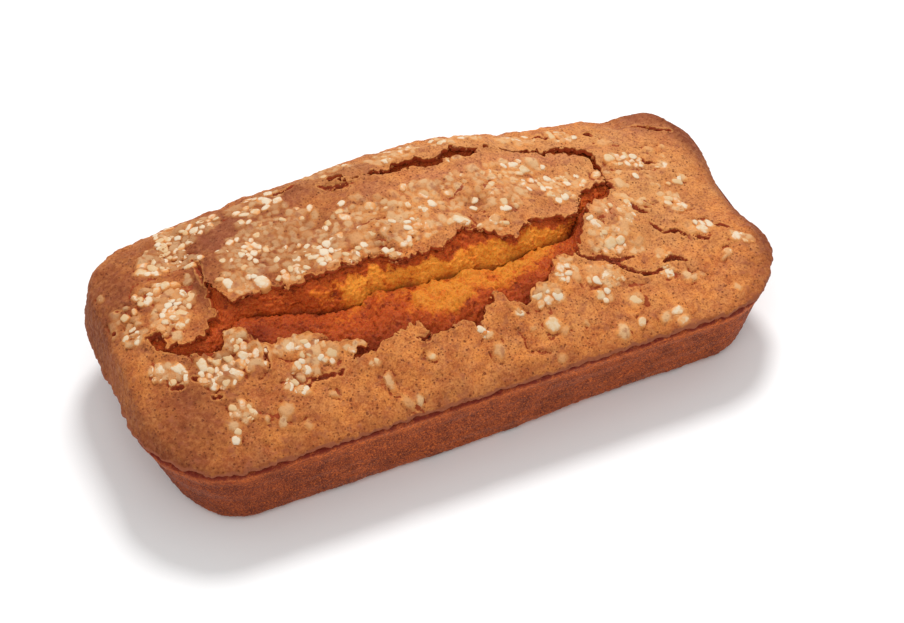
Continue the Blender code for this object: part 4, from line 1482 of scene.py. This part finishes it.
class Recipe:
    """A procedural material being put together."""

    def __init__(self, name: str) -> None:
        """Starts an empty material."""
        self.material = bpy.data.materials.new(name)
        self.material.use_nodes = True
        self.tree = self.material.node_tree
        self.shader = self.tree.nodes["Principled BSDF"]
        self.place = self.tree.nodes.new("ShaderNodeTexCoord").outputs["Object"]

    def _feed(self, socket: bpy.types.NodeSocket, value: object) -> None:
        """Links a socket, or sets it to a plain value."""
        if isinstance(value, bpy.types.NodeSocket):
            self.tree.links.new(value, socket)
        else:
            socket.default_value = value

    def _spot(self, stretch: tuple[float, float, float]) -> bpy.types.NodeSocket:
        """The place on the piece, stretched along its axes."""
        if stretch == (1.0, 1.0, 1.0):
            return self.place
        node = self.tree.nodes.new("ShaderNodeMapping")
        node.inputs["Scale"].default_value = stretch
        self.tree.links.new(self.place, node.inputs["Vector"])
        return node.outputs["Vector"]

    def noise(self, size: float, layers: float = 3.0, rough: float = 0.55,
              stretch: tuple[float, float, float] = (1.0, 1.0, 1.0)) -> bpy.types.NodeSocket:
        """Cloudy variation whose clouds are about size millimetres across."""
        node = self.tree.nodes.new("ShaderNodeTexNoise")
        node.inputs["Scale"].default_value = 1.0 / (size * MM)
        node.inputs["Detail"].default_value = layers
        node.inputs["Roughness"].default_value = rough
        self.tree.links.new(self._spot(stretch), node.inputs["Vector"])
        return node.outputs["Fac"]

    def cells(self, size: float, output: str = "Distance") -> bpy.types.NodeSocket:
        """Cells about size millimetres across, by distance or by their own shade."""
        node = self.tree.nodes.new("ShaderNodeTexVoronoi")
        node.inputs["Scale"].default_value = 1.0 / (size * MM)
        self.tree.links.new(self.place, node.inputs["Vector"])
        return node.outputs[output]

    def mask(self, name: str) -> bpy.types.NodeSocket:
        """A mask that the mesh carries."""
        node = self.tree.nodes.new("ShaderNodeAttribute")
        node.attribute_name = name
        return node.outputs["Fac"]

    def span(self, value: object, start: float, end: float, low: float = 0.0, high: float = 1.0) -> bpy.types.NodeSocket:
        """Goes smoothly from low to high as value goes from start to end."""
        node = self.tree.nodes.new("ShaderNodeMapRange")
        node.interpolation_type = "SMOOTHSTEP"
        for name, setting in (("From Min", start), ("From Max", end), ("To Min", low), ("To Max", high)):
            node.inputs[name].default_value = setting
        self._feed(node.inputs["Value"], value)
        return node.outputs["Result"]

    def sum(self, operation: str, first: object, second: object) -> bpy.types.NodeSocket:
        """One step of arithmetic, held between 0 and 1."""
        node = self.tree.nodes.new("ShaderNodeMath")
        node.operation = operation
        node.use_clamp = True
        self._feed(node.inputs[0], first)
        self._feed(node.inputs[1], second)
        return node.outputs[0]

    def blend(self, share: object, under: object, over: object, mode: Mode = Mode.COVER) -> bpy.types.NodeSocket:
        """Lays one colour over another by a share."""
        node = self.tree.nodes.new("ShaderNodeMix")
        node.data_type = "RGBA"
        node.blend_type = mode.value
        self._feed(node.inputs[0], share)
        self._feed(node.inputs[6], under)
        self._feed(node.inputs[7], over)
        return node.outputs[2]

    def relief(self, height: object, depth: float, strength: float = 1.0, over: object = None) -> bpy.types.NodeSocket:
        """Fine relief of depth millimetres."""
        node = self.tree.nodes.new("ShaderNodeBump")
        node.inputs["Distance"].default_value = depth * MM
        node.inputs["Strength"].default_value = strength
        self._feed(node.inputs["Height"], height)
        if over is not None:
            self._feed(node.inputs["Normal"], over)
        return node.outputs["Normal"]

    def finish(self, colour: object, roughness: object, normal: object, **settings: float) -> bpy.types.Material:
        """Feeds the shader.

        Args:
            colour: the base colour.
            roughness: the roughness.
            normal: the surface's fine relief.
            settings: further shader sockets, by name with _ for spaces.

        Returns:
            The finished material.
        """
        self._feed(self.shader.inputs["Base Color"], colour)
        self._feed(self.shader.inputs["Roughness"], roughness)
        self._feed(self.shader.inputs["Normal"], normal)
        for name, value in settings.items():
            self.shader.inputs[name.replace("_", " ")].default_value = value
        return self.material


@dataclass(frozen=True)
class CrustFinish:
    """Golden crust: pores, mottling, rosy mounds, sugar showing through, and painted shade and light in patches and
    cracks.
    """

    golden: tuple[float, ...] = shade(212, 129, 60)
    tan: tuple[float, ...] = shade(180, 96, 44)
    # Toasted brown: for dark grains and darker bake, and for painted shade.
    toasted_and_shade: tuple[float, ...] = shade(116, 54, 28)
    rosy: tuple[float, ...] = shade(180, 107, 75)
    sandy: tuple[float, ...] = shade(202, 140, 84)
    honey: tuple[float, ...] = shade(216, 148, 80)
    cream: tuple[float, ...] = shade(208, 166, 120)
    # Dark brown: for the pores, and for painted shade at the floor of the narrow cracks.
    pore: tuple[float, ...] = shade(112, 48, 22)
    # Dark red: painted shade in the cracks and under the lip at the rim, partly the red crumb showing there.
    ember_and_shade: tuple[float, ...] = shade(142, 54, 22)
    torn: tuple[float, ...] = shade(168, 70, 30)
    mauve: tuple[float, ...] = shade(146, 80, 52)

    def material(self) -> bpy.types.Material:
        """Builds the material."""
        mix = Recipe("golden_crust")
        clouds, grit, dust = mix.noise(5.0, 4.0), mix.noise(1.4, 3.0, 0.6), mix.noise(0.58, 2.0, 0.7)
        colour = mix.blend(mix.span(clouds, 0.34, 0.66), self.golden, self.tan)
        # Toward sandy where the pale mask says: paler crust, and painted light on the bank behind the back crack.
        colour = mix.blend(mix.sum("MULTIPLY", mix.mask("pale"), 0.9), colour, self.sandy)
        colour = mix.blend(mix.sum("MULTIPLY", mix.mask("rose"), 0.7), colour, self.rosy)
        # Toward toasted where the bake mask says: darker bake, and painted shade where its patches stand for shade.
        baked = mix.sum("MULTIPLY", mix.mask("bake"), mix.span(grit, 0.3, 0.7, 0.7, 1.0))
        colour = mix.blend(baked, colour, self.toasted_and_shade)
        colour = self._speckled(mix, colour, grit, dust)
        touch = mix.sum("ADD", mix.mask("touch"), mix.span(grit, 0.25, 0.75, -0.10, 0.10))
        colour = mix.blend(mix.span(touch, 0.28, 0.52, 0.0, 0.42), colour, self.honey)
        veil = mix.sum("MULTIPLY", mix.span(touch, 0.46, 0.74), mix.span(mix.mask("white"), 0.0, 1.0, 0.30, 0.95))
        colour = mix.blend(veil, colour, self.cream)
        # Toasted again over the sugar's veil where the bake mask says, for darker bake and painted shade alike.
        colour = mix.blend(mix.sum("MULTIPLY", mix.mask("bake"), 0.45), colour, self.toasted_and_shade)
        open_pores = mix.sum("MULTIPLY", self._pores(mix), mix.span(touch, 0.3, 0.6, 1.0, 0.25))
        colour = mix.blend(mix.sum("MULTIPLY", open_pores, 0.8), colour, self.pore)
        colour = self._edged(mix, colour, grit)
        rough = mix.span(grit, 0.3, 0.7, 0.66, 0.84)
        normal = mix.relief(dust, 0.26, 0.8)
        normal = mix.relief(grit, 0.35, 0.6, normal)
        normal = mix.relief(mix.sum("SUBTRACT", 1.0, open_pores), 0.35, 0.8, normal)
        return mix.finish(colour, rough, normal, Specular_IOR_Level=0.18)

    def _speckled(self, mix: Recipe, colour: object, grit: object, dust: object) -> bpy.types.NodeSocket:
        """Fine light and dark grains over a colour; the light ones are partly painted highlights on the grain."""
        colour = mix.blend(mix.span(dust, 0.50, 0.66, 0.0, 0.50), colour, self.toasted_and_shade)
        # Light honey grains: partly lighter crust, partly painted highlights on the fine grain; fewer where the crust
        # is darker.
        light = mix.sum("MULTIPLY", mix.span(dust, 0.50, 0.36, 0.0, 0.35), mix.span(mix.mask("bake"), 0.0, 0.6, 1.0, 0.3))
        colour = mix.blend(light, colour, self.honey)
        colour = mix.blend(mix.span(grit, 0.52, 0.68, 0.0, 0.40), colour, self.toasted_and_shade)
        return mix.blend(mix.span(grit, 0.48, 0.32, 0.0, 0.22), colour, self.sandy)

    def _edged(self, mix: Recipe, colour: object, grit: object) -> bpy.types.NodeSocket:
        """Colours the torn edges, the fine cracks and the lip at the rim, with painted shade in the cracks and under
        the lip.
        """
        edge = mix.sum("ADD", mix.mask("edge"), mix.span(grit, 0.3, 0.7, -0.2, 0.1))
        colour = mix.blend(mix.span(edge, 0.80, 0.98, 0.0, 0.5), colour, self.honey)
        gash = mix.sum("ADD", mix.mask("gash"), mix.span(grit, 0.3, 0.7, -0.05, 0.05))
        colour = mix.blend(mix.span(gash, 0.16, 0.32, 0.0, 0.4), colour, self.honey)
        # Painted shade in the narrow cracks: dark red on their walls, darker at their floor.
        colour = mix.blend(mix.span(gash, 0.37, 0.48), colour, self.ember_and_shade)
        colour = mix.blend(mix.span(gash, 0.54, 0.76, 0.0, 0.8), colour, self.pore)
        under = mix.sum("ADD", mix.mask("under"), mix.span(grit, 0.3, 0.7, -0.05, 0.05))
        colour = mix.blend(mix.span(under, 0.06, 0.20), colour, self.torn)
        hair = mix.sum("ADD", mix.mask("hair"), mix.span(grit, 0.3, 0.7, -0.12, 0.06))
        # Painted shade in the fine cracks, drawn as dark red lines.
        colour = mix.blend(mix.span(hair, 0.80, 0.90, 0.0, 0.9), colour, self.ember_and_shade)
        turn = mix.sum("ADD", mix.mask("turn"), mix.span(mix.noise(3.0, 4.0), 0.3, 0.7, -0.18, 0.18))
        colour = mix.blend(mix.span(turn, 0.06, 0.26, 0.0, 0.9), colour, self.mauve)
        # Painted shade on the lip's underside, where it turns under at the rim.
        return mix.blend(mix.span(turn, 0.60, 0.80), colour, self.ember_and_shade)

    @staticmethod
    def _pores(mix: Recipe) -> bpy.types.NodeSocket:
        """Burst bubbles: dark pits of three sizes among the cells."""
        tiny = mix.sum("MULTIPLY", mix.span(mix.cells(1.15), 0.27, 0.15), mix.span(mix.cells(1.15, "Color"), 0.36, 0.44))
        small = mix.sum("MULTIPLY", mix.span(mix.cells(2.1), 0.20, 0.11), mix.span(mix.cells(2.1, "Color"), 0.46, 0.56))
        large = mix.sum("MULTIPLY", mix.span(mix.cells(4.4), 0.13, 0.07), mix.span(mix.cells(4.4, "Color"), 0.6, 0.65))
        return mix.sum("MAXIMUM", mix.sum("MULTIPLY", tiny, 0.85), mix.sum("MAXIMUM", small, large))


@dataclass(frozen=True)
class CrumbFinish:
    """Soft crumb: yellow in the fold, red-brown near the crust; painted light on the split's rear wall, painted shade
    where the crumb lies in shade.
    """

    yellow: tuple[float, ...] = shade(214, 132, 44)
    # A lighter yellow: painted light on the split's rear wall.
    painted_light_yellow: tuple[float, ...] = shade(240, 150, 52)
    amber: tuple[float, ...] = shade(204, 100, 30)
    russet: tuple[float, ...] = shade(178, 74, 28)
    # Dark red-brown: for dark grains and burnt mottles, and for painted shade.
    dark_crumb_and_shade: tuple[float, ...] = shade(104, 30, 10)

    def material(self) -> bpy.types.Material:
        """Builds the material."""
        mix = Recipe("soft_crumb")
        curds, dust = mix.noise(1.3, 3.0, 0.6), mix.noise(0.6, 2.0, 0.6)
        gold = mix.sum("ADD", mix.mask("gold"), mix.span(curds, 0.3, 0.7, -0.16, 0.16))
        blush = mix.noise(3.4, 4.0, 0.6)
        gold = mix.sum("SUBTRACT", gold, mix.span(blush, 0.46, 0.66, 0.0, 0.42))
        colour = mix.blend(mix.span(gold, 0.05, 0.50), self.russet, self.amber)
        colour = mix.blend(mix.span(gold, 0.30, 1.0), colour, self.yellow)
        # Painted light: the split's rear wall, which faces away from the key light, is lightened toward a brighter
        # yellow.
        colour = mix.blend(mix.sum("MULTIPLY", mix.mask("wall"), mix.span(gold, 0.2, 0.8, 0.0, 0.5)), colour, self.painted_light_yellow)
        colour = mix.blend(mix.span(dust, 0.50, 0.66, 0.0, 0.30), colour, self.dark_crumb_and_shade)
        colour = mix.blend(mix.span(dust, 0.50, 0.34, 0.0, 0.18), colour, self.yellow)
        burnt = mix.sum("MULTIPLY", mix.span(mix.noise(2.4, 4.0, 0.65), 0.50, 0.68, 0.0, 0.75), mix.span(gold, 0.2, 0.7, 1.0, 0.1))
        colour = mix.blend(burnt, colour, self.dark_crumb_and_shade)
        # Painted shade: darkened toward dark red-brown where the crumb lies in shade.
        colour = mix.blend(mix.sum("MULTIPLY", mix.mask("painted_shade"), 0.85), colour, self.dark_crumb_and_shade)
        normal = mix.relief(curds, 0.5, 0.9)
        normal = mix.relief(mix.cells(0.9), 0.2, 0.6, normal)
        glow = {"Subsurface_Weight": 0.3, "Subsurface_Scale": 1.2 * MM}
        return mix.finish(colour, mix.span(curds, 0.3, 0.7, 0.45, 0.65), normal, Specular_IOR_Level=0.08, **glow)


@dataclass(frozen=True)
class PanFinish:
    """The dark side: fine grain, faint bands of painted sheen, and painted shade in the crevice under the lip."""

    brown: tuple[float, ...] = shade(154, 70, 34)
    dark: tuple[float, ...] = shade(92, 34, 20)
    orange: tuple[float, ...] = shade(232, 118, 50)
    # Dark red: for dark pits, and for painted shade in the crevice under the lip.
    scorch_and_shade: tuple[float, ...] = shade(112, 28, 12)
    # Painted sheen: a greyer, lighter brown for faint bands where the side catches the light.
    painted_sheen: tuple[float, ...] = shade(150, 92, 72)

    def material(self) -> bpy.types.Material:
        """Builds the material."""
        mix = Recipe("pan_crust")
        grit, dust = mix.noise(1.0, 3.0, 0.65), mix.noise(0.34, 2.0, 0.7)
        colour = mix.blend(mix.span(mix.noise(6.0, 4.0), 0.38, 0.70), self.brown, self.dark)
        # Faint bands across the side: painted sheen in colour, and a little less rough.
        bands = mix.noise(3.2, 3.0, 0.6, (0.10, 0.10, 1.0))
        colour = mix.blend(mix.span(bands, 0.50, 0.68, 0.0, 0.42), colour, self.painted_sheen)
        colour = mix.blend(mix.span(dust, 0.48, 0.62, 0.0, 0.6), colour, self.orange)
        colour = mix.blend(mix.span(dust, 0.50, 0.40, 0.0, 0.7), colour, self.dark)
        colour = mix.blend(mix.span(grit, 0.50, 0.36, 0.0, 0.5), colour, self.dark)
        band = mix.sum("MULTIPLY", mix.mask("band"), mix.span(mix.noise(0.8, 3.0, 0.7), 0.42, 0.60, 0.20, 1.0))
        colour = mix.blend(band, colour, self.orange)
        pits = mix.sum("MULTIPLY", mix.span(mix.cells(1.0), 0.30, 0.16), mix.span(mix.cells(1.0, "Color"), 0.50, 0.56))
        grains = mix.sum("MULTIPLY", mix.span(mix.cells(1.3), 0.30, 0.16), mix.span(mix.cells(1.3, "Color"), 0.46, 0.40))
        colour = mix.blend(mix.sum("MULTIPLY", pits, 0.75), colour, self.scorch_and_shade)
        colour = mix.blend(mix.sum("MULTIPLY", grains, 0.55), colour, self.orange)
        colour = mix.blend(mix.sum("MULTIPLY", mix.mask("foot"), mix.span(dust, 0.4, 0.6, 0.1, 0.9)), colour, self.orange)
        # Painted shade towards the left end.
        colour = mix.blend(mix.mask("dim"), colour, self.dark)
        # Painted shade in the crevice under the lip.
        crevice = mix.sum("MULTIPLY", mix.mask("scorch_and_shade"), mix.span(mix.noise(2.0, 3.0, 0.6), 0.36, 0.52, 0.35, 1.0))
        colour = mix.blend(crevice, colour, self.scorch_and_shade)
        normal = mix.relief(dust, 0.25, 0.9)
        normal = mix.relief(grit, 0.5, 0.7, normal)
        return mix.finish(colour, mix.span(bands, 0.4, 0.7, 0.74, 0.56), normal, Specular_IOR_Level=0.22)


@dataclass(frozen=True)
class SugarFinish:
    """White to honey sugar, a little waxy, golden where it meets the crust."""

    white: tuple[float, ...] = shade(212, 194, 168)
    cream: tuple[float, ...] = shade(204, 170, 126)
    honey: tuple[float, ...] = shade(210, 140, 76)

    def material(self) -> bpy.types.Material:
        """Builds the material."""
        mix = Recipe("pearl_sugar")
        clouds = mix.noise(1.3, 3.0)
        share = mix.sum("ADD", mix.mask("white"), mix.span(clouds, 0.3, 0.7, -0.25, 0.25))
        colour = mix.blend(mix.span(share, 0.1, 0.9), self.cream, self.white)
        high = mix.sum("ADD", mix.mask("high"), mix.span(clouds, 0.3, 0.7, -0.15, 0.15))
        colour = mix.blend(mix.span(high, 0.72, 0.20), colour, self.honey)
        normal = mix.relief(mix.noise(0.5, 3.0, 0.6), 0.14, 0.7)
        return mix.finish(colour, mix.span(clouds, 0.3, 0.7, 0.5, 0.7), normal, Specular_IOR_Level=0.2)


@dataclass(frozen=True)
class SpillFinish:
    """Torn-off crumbs, from red-brown crumb to golden crust."""

    russet: tuple[float, ...] = shade(150, 62, 28)
    golden: tuple[float, ...] = shade(208, 134, 70)

    def material(self) -> bpy.types.Material:
        """Builds the material."""
        mix = Recipe("torn_crumbs")
        dust = mix.noise(0.5, 2.0, 0.7)
        share = mix.sum("ADD", mix.mask("gold"), mix.span(dust, 0.3, 0.7, -0.3, 0.3))
        colour = mix.blend(share, self.russet, self.golden)
        return mix.finish(colour, mix.span(dust, 0.3, 0.7, 0.6, 0.8), mix.relief(dust, 0.2, 0.9), Specular_IOR_Level=0.2)


@dataclass(frozen=True)
class FloorFinish:
    """Plain pale paper, with only a trace of tooth."""

    paper: tuple[float, ...] = (0.87, 0.87, 0.87, 1.0)
    tooth: tuple[float, ...] = (0.84, 0.84, 0.84, 1.0)

    def material(self) -> bpy.types.Material:
        """Builds the material."""
        mix = Recipe("pale_paper")
        clouds = mix.noise(60.0, 2.0)
        colour = mix.blend(clouds, self.paper, self.tooth)
        return mix.finish(colour, 0.9, mix.relief(clouds, 0.05, 0.2), Specular_IOR_Level=0.1)


# ------------------------------------------------------------------ the studio


@dataclass(frozen=True)
class SoftBox:
    """A round soft light: where it hangs, in degrees and metres, and its strength."""

    name: str
    watts: float
    azimuth: float
    elevation: float
    size: float
    distance: float


@dataclass
class Studio:
    """Floor, light and camera around the loaf."""

    azimuth: float = -24.3
    elevation: float = 44.4
    distance: float = 700.0
    target: tuple[float, float, float] = (1.6, -11.9, 25.0)
    lens: float = 90.0
    sky: float = 0.68
    boxes: tuple[SoftBox, ...] = (
        SoftBox("key", 10.8, 150.0, 60.0, 0.35, 1.3),
        SoftBox("fill", 3.6, -30.0, 50.0, 0.9, 1.3),
    )
    floor_size: float = 8.0

    def set_up(self) -> None:
        """Builds the whole studio."""
        self._camera()
        self._light()
        self._floor()
        bpy.context.scene.view_settings.view_transform = "Standard"

    @staticmethod
    def _towards(azimuth: float, elevation: float) -> Vector:
        """Direction from the loaf to something that looks at it from there."""
        turn, lift = math.radians(azimuth), math.radians(elevation)
        return Vector((math.sin(turn) * math.cos(lift), -math.cos(turn) * math.cos(lift), math.sin(lift)))

    def _camera(self) -> None:
        """Places the camera."""
        data = bpy.data.cameras.new("camera")
        data.lens = self.lens
        data.clip_start = 0.01
        camera = bpy.data.objects.new("camera", data)
        back = self._towards(self.azimuth, self.elevation)
        camera.location = Vector(self.target) * MM + back * self.distance * MM
        camera.rotation_euler = (-back).to_track_quat("-Z", "Y").to_euler()
        bpy.context.scene.collection.objects.link(camera)
        bpy.context.scene.camera = camera

    def _light(self) -> None:
        """Hangs the soft boxes and an even pale sky."""
        for box in self.boxes:
            data = bpy.data.lights.new(box.name, "AREA")
            data.shape = "DISK"
            data.size = box.size
            data.energy = box.watts
            light = bpy.data.objects.new(box.name, data)
            back = self._towards(box.azimuth, box.elevation)
            light.location = back * box.distance
            light.rotation_euler = (-back).to_track_quat("-Z", "Y").to_euler()
            bpy.context.scene.collection.objects.link(light)
        world = bpy.data.worlds.new("pale_sky")
        world.use_nodes = True
        background = world.node_tree.nodes["Background"]
        background.inputs["Color"].default_value = (1.0, 1.0, 1.0, 1.0)
        background.inputs["Strength"].default_value = self.sky
        bpy.context.scene.world = world

    def _floor(self) -> None:
        """Lays the pale floor."""
        bm = bmesh.new()
        bmesh.ops.create_grid(bm, x_segments=4, y_segments=4, size=self.floor_size / 2)
        mesh = bpy.data.meshes.new("floor")
        bm.to_mesh(mesh)
        bm.free()
        mesh.materials.append(FloorFinish().material())
        floor = bpy.data.objects.new("floor", mesh)
        bpy.context.scene.collection.objects.link(floor)


# ------------------------------------------------------------------- the whole


def place(sheet: Sheet, name: str, material: bpy.types.Material, slot: str) -> bpy.types.Object:
    """Makes a piece of the loaf and sets it on the model.

    Args:
        sheet: the piece's surface and masks.
        name: the piece's name.
        material: its finish.
        slot: not used.

    Returns:
        The piece.
    """
    piece = sheet.piece(name)
    piece.data.materials.append(material)
    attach(piece, ROOT_BODY)
    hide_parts(CAD_LOAF)
    log.info("%s: %d triangles", name, sum(len(face.vertices) - 2 for face in piece.data.polygons))
    return piece


def main() -> None:
    """Builds the studio and the loaf, piece by piece."""
    logging.basicConfig(level=logging.INFO, format="%(message)s")
    Studio().set_up()
    form = LoafForm.from_frame()
    tears = Tears(Unevenness(11))
    sugar = PearlSugar()
    sugar.scatter(tears)
    top = CrustTop(form, tears, sugar)
    place(top.build(), "top_crust", CrustFinish().material(), "crust")
    place(sugar.mesh(top), "pearl_sugar", SugarFinish().material(), "crust")
    place(TornCrumbs(tears, top).build(), "torn_crumbs", SpillFinish().material(), "crust")
    place(CrumbBed(form).build(), "crumb", CrumbFinish().material(), "crust")
    place(PanCrust(form).build(), "pan_crust", PanFinish().material(), "crust")
    log.info("%d lumps of sugar, %d of them bare", len(sugar.lumps), sum(lump.bare for lump in sugar.lumps))


if __name__ == "__main__":
    main()
